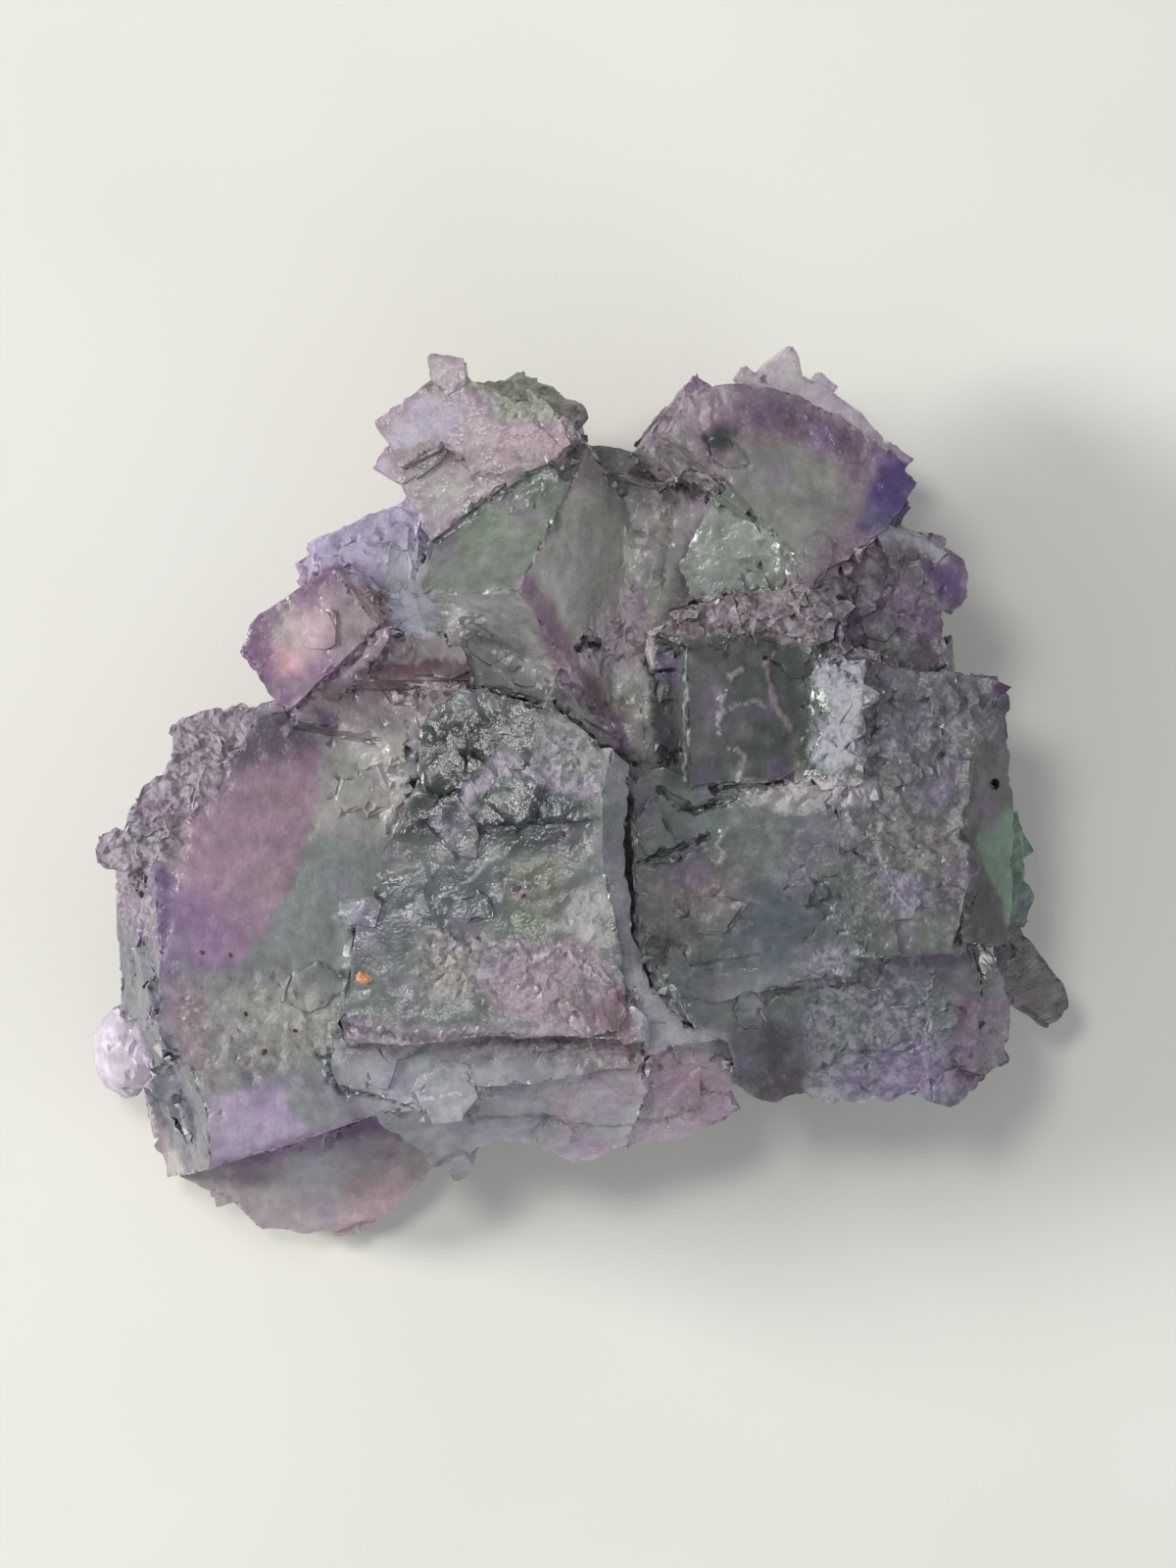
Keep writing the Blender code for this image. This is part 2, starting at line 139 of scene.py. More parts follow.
# Loose grains stuck on the stone: x, y, length, width and height.
OCHRE = ((-15.8, -13.7, 1.2, 0.85, 0.9),)
SPECKS = (
    (-5.0, -7.4, 0.7, 0.35, 0.3), (-4.6, -7.9, 0.4, 0.25, 0.25), (-1.8, -3.5, 0.5, 0.35, 0.3),
    (-23.1, -19.1, 0.55, 0.4, 0.3), (-27.5, -12.0, 0.4, 0.3, 0.25), (-24.4, -16.4, 0.35, 0.3, 0.25),
    (3.9, -19.1, 0.5, 0.35, 0.3), (1.4, -17.5, 0.4, 0.3, 0.25), (-25.5, -12.2, 0.35, 0.25, 0.2),
    (-20.9, -17.6, 0.3, 0.3, 0.2), (-1.1, -17.9, 0.35, 0.3, 0.2), (-14.6, 12.2, 0.4, 0.3, 0.25),
)


# Zones: name, colour, softness of the outline, frost, grain, ledges, outline. Frost dulls and
# whitens the surface, grain crumbles it and ledges break it into steps. Later rows lie over
# earlier ones.
ZONES = (
    ("west_face", (144, 144, 148), 0.4, 0.1, 0.05, 0.3,
     ((-31.0, -5.0), (-30.5, -17.0), (-27.0, -28.0), (-12.0, -23.0), (-17.0, -16.0),
      (-16.0, -9.0), (-12.0, 0.0), (-12.0, 7.0), (-21.0, 6.0), (-30.0, 5.0), (-34.0, -2.0))),
    # Painted light: the next two rows are made paler than their stone to stand in for light that reaches into
    # this hollow.
    ("west_yellow", (182, 178, 172), 2.4, 0.05, 0.0, 0.1,
     ((-19.3, 4.6), (-12.0, 4.0), (-12.0, 0.0), (-14.3, -4.3), (-19.3, -3.6), (-20.7, 0.0))),
    ("west_green", (146, 155, 155), 0.5, 0.0, 0.0, 0.1,
     ((-19.5, -3.6), (-14.3, -4.3), (-16.4, -10.0), (-17.5, -16.4), (-24.0, -14.3),
      (-25.0, -12.5), (-21.4, -7.5))),
    ("west_pink", (174, 141, 162), 0.45, 0.05, 0.0, 0.05,
     ((-26.8, 2.1), (-21.4, 3.9), (-19.3, 2.9), (-19.6, -2.1), (-21.4, -7.1),
      (-24.6, -12.5), (-27.5, -13.2), (-29.6, -11.4), (-30.0, -7.1), (-28.6, -2.9))),
    ("west_glow", (150, 114, 164), 2.6, 0.05, 0.0, 0.05,
     ((-30.0, -7.1), (-27.5, -7.5), (-25.7, -12.5), (-27.5, -13.2), (-29.6, -11.8))),
    ("west_mauve", (112, 96, 116), 2.2, 0.2, 0.3, 0.2,
     ((-27.5, 3.9), (-19.3, 6.1), (-18.9, 2.9), (-25.0, 0.7), (-27.5, -2.1), (-28.6, 0.0))),
    ("west_crust", (150, 132, 145), 1.6, 0.5, 1.0, 0.4,
     ((-36.0, -8.6), (-35.0, -5.0), (-33.8, -1.0), (-31.4, 3.0), (-30.8, 5.0), (-28.8, 6.0),
      (-23.5, 6.8), (-25.7, 1.4), (-28.2, -2.1), (-30.0, -6.4), (-31.1, -11.4),
      (-32.1, -11.4), (-35.0, -10.0))),
    ("west_violet", (124, 94, 144), 0.9, 0.2, 0.4, 0.2,
     ((-31.1, -5.7), (-29.6, -6.4), (-29.9, -11.4), (-28.9, -15.7), (-30.0, -15.0),
      (-30.9, -10.7))),
    ("west_dusk", (170, 146, 158), 1.6, 0.2, 0.4, 0.2,
     ((-29.9, -14.3), (-27.5, -14.3), (-25.7, -20.7), (-26.8, -22.1), (-28.6, -20.0),
      (-30.0, -17.1))),
    ("west_speckled", (166, 164, 156), 2, 0.25, 0.35, 0.3,
     ((-27.5, -14.3), (-21.4, -13.6), (-18.2, -15.7), (-18.6, -20.0), (-24.3, -21.1),
      (-26.8, -20.0))),
    ("west_grey", (150, 152, 158), 1.6, 0.1, 0.0, 0.2,
     ((-24.1, -21.1), (-18.6, -19.3), (-17.1, -21.4), (-12.5, -22.5), (-20.0, -24.3),
      (-22.9, -22.9))),
    ("west_lilac", (188, 166, 200), 0.5, 0.1, 0.0, 0.1,
     ((-27.0, -22.1), (-22.1, -21.8), (-20.1, -24.3), (-21.4, -25.6), (-26.8, -26.8))),
    ("west_hem", (148, 122, 158), 0.4, 0.1, 0.1, 0.2,
     ((-29.3, -28.2), (-26.8, -27.1), (-21.4, -25.4), (-12.1, -22.5), (-12.3, -23.9),
      (-20.7, -27.6), (-27.5, -28.8))),
    ("west_side", (124, 124, 134), 0.4, 0.3, 0.1, 0.8,
     ((-36.5, -8.6), (-35.0, -10.0), (-31.1, -11.4), (-30.0, -17.1), (-28.2, -20.4),
      (-27.0, -23.6), (-26.9, -27.5), (-29.1, -28.4), (-33.2, -23.6), (-34.0, -17.1),
      (-36.5, -15.0))),
    ("slab", (184, 171, 173), 0.3, 0.05, 0.0, 0.2,
     ((-33.4, -22.8), (-29.3, -28.4), (-20.7, -27.6), (-12.3, -24.4), (-10.5, -27.6),
      (-13.0, -31.0), (-18.6, -34.0), (-25.0, -34.0), (-31.4, -29.6))),
    ("slab_grey", (212, 209, 214), 2.8, 0.0, 0.0, 0.1,
     ((-22.1, -27.6), (-18.6, -27.0), (-15.7, -27.9), (-19.3, -30.4), (-23.6, -30.0))),
    ("slab_rose", (198, 170, 178), 1.6, 0.1, 0.1, 0.3,
     ((-17.6, -29.6), (-14.6, -28.6), (-13.6, -30.8), (-15.6, -32.6), (-18.6, -33.0))),
    ("west_nub", (214, 202, 220), 0.4, 0.0, 0.0, 0.0,
     ((-37.5, -15.6), (-35.0, -16.0), (-32.8, -18.0), (-31.5, -22.0), (-33.0, -24.2),
      (-37.5, -22.0))),
    ("heart", (114, 120, 120), 0.3, 0.1, 0.1, 0.35,
     ((-12.0, 3.9), (-12.0, 0.0), (-14.3, -4.3), (-16.4, -10.0), (-17.5, -16.4),
      (-18.4, -21.4), (-15.7, -22.1), (-2.9, -18.2), (2.9, -19.3), (3.6, -14.3),
      (2.9, -10.0), (1.1, -5.0), (1.6, 1.4), (0.0, 3.6), (-5.0, 6.4), (-8.9, 7.1),
      (-11.4, 4.6))),
    ("heart_dark", (56, 64, 61), 1.6, 0.05, 0.0, 0.35,
     ((-11.4, 4.3), (-4.3, 6.4), (-2.9, 2.1), (-6.1, 2.1), (-9.3, -2.1), (-12.1, -4.3),
      (-13.9, -4.3), (-12.0, 0.0))),
    ("heart_blue", (56, 66, 71), 1.8, 0.0, 0.0, 0.3,
     ((-7.1, 0.0), (-2.9, 0.4), (0.0, -0.7), (-0.7, -4.6), (-5.0, -5.0), (-7.9, -3.6))),
    ("heart_glitter", (140, 138, 138), 1.6, 0.55, 0.7, 0.35,
     ((-2.9, 4.6), (0.0, 3.2), (1.4, 0.7), (0.7, -1.4), (-1.8, 0.0), (-3.6, 2.1))),
    ("heart_vein", (164, 152, 170), 0.35, 0.7, 0.7, 0.3,
     ((-9.4, -2.7), (-8.6, 0.0), (-6.3, 2.5), (-2.9, 1.1), (0.4, 0.4), (0.0, -0.9),
      (-2.9, 0.0), (-5.7, 0.7), (-7.9, -0.9), (-8.7, -2.5))),
    ("heart_olive", (112, 120, 102), 2, 0.15, 0.2, 0.35,
     ((-6.1, -5.0), (-1.8, -4.6), (-1.4, -9.3), (-3.9, -11.1), (-6.1, -9.3))),
    ("heart_slate", (92, 100, 106), 2.4, 0.05, 0.0, 0.35,
     ((-14.3, -7.1), (-7.1, -4.3), (-5.7, -7.1), (-7.1, -11.4), (-12.1, -12.9),
      (-15.7, -11.4))),
    ("heart_beige", (152, 146, 136), 1.6, 0.5, 0.8, 0.3,
     ((-12.1, -11.1), (-7.1, -10.7), (-6.1, -14.3), (-11.4, -15.4))),
    ("heart_pink", (156, 132, 148), 1.6, 0.3, 0.5, 0.35,
     ((-5.7, -11.4), (0.0, -11.1), (1.8, -13.6), (2.9, -17.9), (-2.9, -17.1), (-7.1, -15.7))),
    ("heart_white", (178, 172, 172), 0.9, 0.5, 0.5, 0.35,
     ((-0.7, -7.1), (1.1, -7.1), (1.8, -10.7), (0.4, -11.4), (-2.1, -10.0))),
    ("heart_rose", (128, 98, 112), 1.6, 0.15, 0.2, 0.35,
     ((0.0, -15.0), (2.9, -14.3), (3.6, -20.0), (1.4, -19.6))),
    ("terrace", (160, 147, 156), 0.4, 0.25, 0.5, 0.35,
     ((-17.5, -16.8), (1.4, -17.1), (2.9, -19.6), (-2.9, -19.3), (-17.1, -19.1))),
    ("south_glass", (164, 167, 173), 0.9, 0.1, 0.0, 0.35,
     ((-18.2, -19.6), (-14.3, -19.6), (-8.6, -19.3), (0.0, -20.7), (2.9, -22.1),
      (-2.9, -25.0), (-9.3, -28.0), (-12.0, -27.5), (-15.4, -24.0))),
    ("south_lilac", (190, 172, 187), 0.9, 0.25, 0.2, 0.35,
     ((-2.9, -22.1), (7.1, -19.6), (10.4, -21.1), (10.6, -23.2), (6.4, -26.6), (0.0, -27.8),
      (-1.8, -25.0))),
    ("south_pale", (184, 178, 188), 1.05, 0.3, 0.1, 0.35,
     ((0.0, -22.4), (4.0, -22.8), (3.0, -25.6), (-1.0, -26.4))),
    ("lobe", (178, 148, 168), 0.9, 0.15, 0.1, 0.3,
     ((3.9, -19.6), (7.1, -18.6), (9.6, -20.4), (10.6, -22.1), (8.6, -24.3), (5.7, -23.2))),
    ("pillar", (128, 130, 138), 0.3, 0.05, 0.0, 0.2,
     ((0.9, 0.7), (2.9, 2.1), (2.6, -5.0), (3.6, -11.4), (7.1, -17.1), (9.6, -18.2),
      (7.1, -19.3), (3.6, -17.9), (2.1, -11.4), (1.1, -5.0))),
    ("pillar_foot", (182, 180, 187), 2, 0.05, 0.0, 0.2,
     ((3.4, -13.6), (5.0, -14.6), (7.1, -17.1), (9.6, -18.2), (7.1, -19.6), (4.2, -18.6))),
    # Painted light: the recess is made paler than its stone to stand in for light that reaches into it.
    ("recess", (198, 194, 186), 0.4, 0.05, 0.05, 0.1,
     ((-0.7, 22.1), (2.9, 22.9), (7.1, 21.4), (8.6, 20.0), (7.1, 17.1), (6.4, 14.3),
      (4.6, 11.4), (5.0, 1.4), (2.9, 2.9), (0.0, 6.1), (-2.1, 7.9), (-4.6, 12.9),
      (-3.9, 15.4), (-1.8, 18.6))),
    ("recess_top", (138, 130, 130), 2, 0.2, 0.4, 0.2,
     ((-0.7, 25.8), (5.1, 25.4), (9.3, 22.9), (8.6, 20.0), (3.6, 19.6), (-0.7, 21.4))),
    ("recess_violet", (150, 122, 142), 0.9, 0.1, 0.1, 0.1,
     ((-5.0, 14.3), (-3.7, 15.0), (-1.8, 11.4), (0.4, 7.9), (2.9, 3.9), (2.9, 2.5),
      (0.0, 5.9), (-2.9, 8.6))),
    ("recess_crust", (214, 198, 206), 1.8, 0.5, 0.7, 0.2,
     ((2.9, 14.3), (4.6, 12.9), (4.3, 8.6), (0.7, 7.9), (-1.1, 8.6), (0.0, 11.4))),
    ("green_band", (114, 124, 114), 0.3, 0.05, 0.05, 0.2,
     ((-12.1, 13.6), (-11.2, 17.3), (-7.1, 20.7), (-2.9, 23.2), (-0.7, 24.4), (-0.7, 22.1),
      (-2.1, 18.6), (-4.6, 15.0), (-5.4, 13.7))),
    ("green_glow", (132, 144, 126), 2.4, 0.0, 0.0, 0.1,
     ((-8.6, 18.2), (-3.2, 21.1), (-2.9, 19.3), (-7.1, 16.1))),
    ("sill", (168, 168, 164), 0.3, 0.1, 0.1, 0.3,
     ((-11.1, 13.4), (-5.0, 13.2), (-2.1, 7.5), (1.4, 3.9), (-2.9, 6.1), (-8.2, 7.1),
      (-9.6, 11.1))),
    ("north_west", (164, 144, 155), 0.4, 0.15, 0.05, 0.2,
     ((-16.2, 25.9), (-10.0, 30.6), (-7.9, 29.2), (-1.0, 26.4), (-0.7, 24.4), (-7.1, 20.7),
      (-11.2, 17.3), (-14.0, 21.4))),
    ("north_west_pale", (174, 165, 164), 2, 0.0, 0.0, 0.1,
     ((-11.4, 22.9), (-8.6, 22.1), (-7.1, 21.4), (-10.7, 18.6))),
    ("north_west_frost", (195, 185, 205), 1.6, 0.55, 0.2, 0.2,
     ((-14.6, 24.6), (-12.1, 27.1), (-9.3, 27.1), (-10.7, 25.0), (-13.6, 23.9))),
    ("north_west_rose", (158, 128, 142), 1.6, 0.2, 0.2, 0.3,
     ((-7.1, 24.6), (-2.9, 25.0), (-1.4, 23.9), (-5.7, 22.0))),
    ("green_crumb", (150, 156, 134), 0.4, 0.35, 0.6, 0.2,
     ((-8.4, 28.2), (-8.0, 30.2), (-4.6, 31.0), (-2.4, 29.0), (-0.8, 27.2), (-2.9, 25.7),
      (-6.4, 26.1), (-7.5, 27.5))),
    ("upper_cube", (178, 164, 198), 0.4, 0.5, 0.25, 0.2,
     ((-20.4, 15.0), (-20.4, 16.8), (-18.6, 18.9), (-15.7, 20.2), (-13.4, 21.0),
      (-12.0, 19.3), (-12.0, 17.1), (-13.2, 15.7), (-15.0, 14.6), (-18.2, 14.3))),
    # Partly the face's own white frost, partly a painted highlight where the face catches the light.
    ("frost_strip", (208, 212, 226), 0.4, 0.95, 0.35, 0.1,
     ((-14.9, 16.1), (-12.9, 17.4), (-12.0, 14.3), (-10.7, 10.7), (-12.9, 9.6),
      (-13.9, 12.1))),
    ("lower_cube", (126, 96, 128), 0.3, 0.1, 0.15, 0.1,
     ((-25.4, 9.4), (-24.4, 12.2), (-18.1, 16.0), (-14.8, 13.0), (-13.2, 10.7),
      (-14.3, 10.0), (-18.6, 7.1), (-21.4, 4.8))),
    ("lower_cube_core", (184, 160, 166), 2.2, 0.0, 0.0, 0.0,
     ((-22.1, 11.4), (-18.2, 13.6), (-17.1, 11.4), (-19.3, 8.6), (-21.4, 7.9))),
    ("lower_cube_pink", (208, 146, 160), 1.6, 0.0, 0.0, 0.0,
     ((-22.1, 9.3), (-20.4, 9.4), (-20.7, 7.9), (-22.0, 8.0))),
    ("lower_cube_side", (144, 128, 134), 0.9, 0.05, 0.1, 0.1,
     ((-17.3, 14.3), (-14.3, 13.9), (-13.4, 10.7), (-15.7, 9.6), (-17.9, 8.6))),
    ("blade", (180, 160, 174), 0.3, 0.05, 0.0, 0.1,
     ((-21.8, 5.1), (-19.6, 4.6), (-14.3, 10.4), (-18.6, 7.1))),
    ("step_top", (172, 160, 162), 0.3, 0.1, 0.1, 0.1,
     ((-14.3, 10.4), (-8.9, 11.1), (-8.6, 8.7), (-14.3, 8.6))),
    ("step_wine", (102, 78, 90), 0.25, 0.1, 0.0, 0.1,
     ((-16.4, 8.6), (-8.4, 8.7), (-8.4, 7.3), (-16.8, 7.3))),
    ("step_foot", (158, 142, 146), 1.6, 0.1, 0.1, 0.2,
     ((-20.0, 6.8), (-9.3, 7.1), (-11.4, 4.6), (-19.3, 3.9))),
    ("step_violet", (105, 80, 112), 0.9, 0.2, 0.2, 0.2,
     ((-19.6, 5.4), (-17.5, 5.1), (-17.9, 2.9), (-19.3, 3.6))),
    ("north_east", (138, 114, 132), 0.3, 0.15, 0.15, 0.2,
     ((5.0, 25.9), (6.6, 28.4), (10.0, 29.2), (14.3, 28.6), (17.9, 27.2), (21.8, 24.3),
      (24.0, 21.6), (21.4, 18.2), (19.3, 16.4), (17.1, 14.3), (11.4, 13.0), (7.1, 13.2),
      (6.4, 15.7), (9.6, 21.8))),
    ("north_east_core", (138, 138, 131), 2.4, 0.0, 0.0, 0.05,
     ((9.6, 21.8), (10.4, 23.9), (14.3, 25.0), (17.9, 22.9), (18.6, 20.0), (15.7, 15.7),
      (13.6, 14.3), (11.1, 17.1))),
    ("north_east_green", (132, 142, 130), 0.35, 0.0, 0.0, 0.05,
     ((9.6, 21.6), (14.3, 17.1), (13.6, 13.4), (7.1, 13.2), (6.4, 15.7))),
    ("north_east_rim", (110, 86, 110), 1.8, 0.2, 0.3, 0.2,
     ((10.4, 27.1), (14.3, 27.7), (17.9, 26.1), (20.7, 23.6), (19.3, 22.1), (16.4, 24.3),
      (12.9, 25.0), (10.4, 25.0))),
    ("north_east_left", (160, 138, 154), 0.9, 0.3, 0.4, 0.3,
     ((5.4, 25.7), (7.1, 28.0), (10.0, 28.6), (10.4, 26.4), (7.9, 25.4))),
    ("north_east_smudge", (60, 64, 66), 0.9, 0.0, 0.1, 0.1,
     ((7.7, 24.4), (8.9, 25.4), (10.6, 25.0), (10.4, 23.9), (8.2, 23.6))),
    # Partly the purple rim's own colour, partly painted shade on the side turned away from the light.
    ("north_east_violet", (82, 58, 122), 0.9, 0.0, 0.1, 0.2,
     ((19.4, 18.2), (20.0, 21.4), (21.8, 23.9), (24.2, 21.6), (22.8, 19.4), (21.4, 18.2),
      (20.0, 17.1))),
    ("pale_plate", (180, 168, 178), 0.25, 0.1, 0.0, 0.2,
     ((10.6, 29.4), (14.9, 33.0), (18.4, 29.0), (22.2, 25.4), (23.6, 23.8), (22.4, 22.9),
      (17.9, 26.8), (14.3, 28.2))),
    ("shoulder", (116, 102, 114), 0.4, 0.25, 0.4, 0.4,
     ((16.4, 14.3), (19.3, 16.1), (21.8, 18.2), (25.7, 17.2), (26.8, 15.9), (26.6, 12.9),
      (25.8, 12.7), (26.0, 7.9), (20.0, 7.9), (16.8, 10.0))),
    ("shoulder_crust", (142, 122, 136), 1.05, 0.4, 0.7, 0.4,
     ((16.8, 14.3), (20.4, 18.2), (21.8, 17.5), (19.3, 14.3), (17.5, 12.9))),
    ("shoulder_white", (160, 154, 166), 0.3, 0.5, 0.2, 0.2,
     ((21.8, 18.4), (25.9, 17.2), (25.7, 15.9), (22.5, 17.1))),
    ("shoulder_violet", (92, 66, 112), 0.5, 0.05, 0.1, 0.1,
     ((24.1, 15.7), (26.8, 15.9), (26.6, 12.9), (25.0, 13.0))),
    ("pink_ledge", (130, 114, 122), 0.5, 0.4, 0.8, 0.4,
     ((6.4, 12.5), (11.4, 13.8), (16.8, 12.9), (16.8, 10.0), (10.0, 9.6), (5.0, 10.4))),
    ("dark_cube", (84, 88, 88), 0.3, 0.05, 0.05, 0.35,
     ((4.3, 10.7), (17.0, 10.0), (17.0, 0.0), (11.4, 0.0), (5.4, -0.4), (4.4, 4.3))),
    ("dark_cube_side", (86, 90, 90), 0.3, 0.0, 0.05, 0.2,
     ((4.3, 10.0), (6.7, 9.6), (6.9, 0.0), (5.1, 0.4))),
    ("dark_cube_haze", (104, 106, 106), 2.4, 0.05, 0.0, 0.3,
     ((7.1, 8.6), (10.4, 8.9), (9.6, 2.9), (7.5, 1.4))),
    ("dark_cube_green", (82, 92, 82), 2, 0.0, 0.05, 0.35,
     ((10.4, 7.9), (16.8, 8.6), (16.4, 1.4), (11.4, 0.7))),
    ("east_cube", (104, 104, 109), 0.5, 0.25, 0.45, 0.35,
     ((19.3, 8.2), (25.7, 8.4), (29.3, 7.6), (30.6, 5.4), (27.5, 2.9), (26.8, -2.1),
      (26.8, -11.4), (17.9, -11.4), (16.8, 0.0), (19.1, 2.1))),
    ("frost_face", (146, 156, 166), 0.5, 0.95, 0.6, 0.2,
     ((15.9, 8.6), (17.9, 8.9), (19.4, 7.9), (19.1, 2.1), (16.8, 0.7), (15.4, 2.1),
      (17.0, 5.7))),
    ("east_brown", (120, 112, 110), 2, 0.3, 0.6, 0.35,
     ((20.4, -2.9), (25.7, -2.1), (26.4, -7.1), (22.1, -6.4))),
    ("east_lilac", (140, 134, 158), 1.6, 0.5, 0.3, 0.3,
     ((21.1, -5.7), (23.9, -7.1), (23.2, -9.3), (21.4, -9.3))),
    ("east_green", (108, 116, 106), 2, 0.1, 0.1, 0.3,
     ((20.0, -9.3), (25.0, -9.3), (24.6, -13.6), (20.7, -14.3))),
    ("east_grey", (96, 94, 97), 0.4, 0.1, 0.0, 0.1,
     ((26.8, 2.9), (30.6, 3.6), (30.9, -3.6), (27.9, -3.9), (26.8, -1.4))),
    ("east_corner", (74, 52, 88), 0.4, 0.1, 0.1, 0.1,
     ((28.6, 7.6), (30.6, 7.2), (30.6, 4.3), (28.9, 5.0))),
    # Painted shade: the wedge is given a dark colour for the shade it lies in.
    ("east_wedge", (68, 71, 78), 0.35, 0.05, 0.0, 0.1,
     ((26.4, -1.4), (27.9, -4.3), (30.6, -11.4), (27.5, -12.0))),
    ("green_chip", (100, 136, 112), 0.3, 0.0, 0.0, 0.2,
     ((27.9, -3.9), (30.9, -1.2), (32.4, -2.9), (32.8, -7.1), (33.4, -8.2), (32.8, -10.7),
      (30.4, -10.4))),
    ("shard", (84, 76, 74), 0.3, 0.1, 0.1, 0.3,
     ((29.3, -11.8), (32.1, -10.7), (36.4, -16.2), (36.0, -17.6), (30.7, -15.9))),
    ("shard_edge", (82, 76, 72), 0.4, 0.1, 0.1, 0.2,
     ((31.4, -10.4), (32.6, -10.8), (36.4, -16.2), (35.4, -16.6))),
    ("green_heart", (112, 118, 118), 0.3, 0.15, 0.2, 0.35,
     ((3.2, -2.1), (4.3, 0.0), (7.1, -0.7), (17.0, 0.0), (17.9, -11.4), (10.0, -17.9),
      (7.1, -17.1), (4.6, -14.3), (3.2, -10.7))),
    ("green_heart_top", (116, 128, 122), 2, 0.05, 0.0, 0.35,
     ((5.0, 0.0), (11.4, -0.7), (10.0, -3.6), (4.3, -4.3))),
    ("green_heart_blue", (84, 94, 102), 2.4, 0.05, 0.0, 0.35,
     ((10.7, -7.1), (17.9, -6.8), (17.9, -9.3), (13.6, -13.6), (10.0, -14.3))),
    ("green_heart_pink", (130, 118, 120), 2.4, 0.2, 0.3, 0.35,
     ((4.3, -7.1), (10.0, -5.7), (10.7, -8.6), (5.7, -10.7))),
    ("green_heart_pale", (126, 132, 134), 2, 0.1, 0.0, 0.3,
     ((7.1, -12.9), (13.6, -13.6), (10.0, -17.5), (7.1, -16.4))),
    ("crest", (170, 162, 162), 0.4, 0.6, 0.7, 0.4,
     ((11.1, 0.0), (17.1, 0.4), (20.4, 0.0), (20.0, -1.1), (14.3, -2.1), (10.7, -1.1))),
    ("south_east", (100, 104, 106), 0.4, 0.1, 0.1, 0.3,
     ((10.0, -17.9), (17.9, -11.4), (26.8, -11.4), (31.0, -15.7), (31.4, -17.1),
      (29.4, -21.0), (23.6, -23.6), (16.8, -23.8), (12.9, -23.8), (10.5, -21.4))),
    ("south_east_smudge", (84, 74, 84), 2.4, 0.05, 0.1, 0.2,
     ((12.5, -17.9), (14.6, -17.9), (14.6, -20.7), (12.9, -20.7))),
    ("south_east_mauve", (88, 78, 85), 1.6, 0.1, 0.2, 0.2,
     ((11.4, -20.7), (15.7, -20.4), (15.6, -23.4), (12.1, -23.6))),
    ("south_east_frost", (114, 120, 128), 0.9, 0.5, 0.6, 0.35,
     ((15.9, -11.8), (19.3, -11.4), (25.7, -15.0), (25.7, -22.1), (16.4, -22.9),
      (15.4, -17.1))),
    ("south_east_violet", (134, 118, 152), 1.8, 0.4, 0.6, 0.35,
     ((17.9, -20.0), (25.7, -18.6), (27.5, -21.4), (23.6, -23.4), (17.1, -23.4))),
    ("south_east_white", (160, 154, 162), 0.4, 0.8, 0.5, 0.2,
     ((15.7, -21.8), (19.3, -22.3), (21.4, -22.7), (19.3, -24.0), (16.1, -23.8))),
    ("lilac_end", (116, 96, 116), 1.05, 0.2, 0.3, 0.3,
     ((26.1, -15.0), (31.0, -15.4), (31.2, -17.9), (29.0, -21.6), (26.1, -22.4))),
)

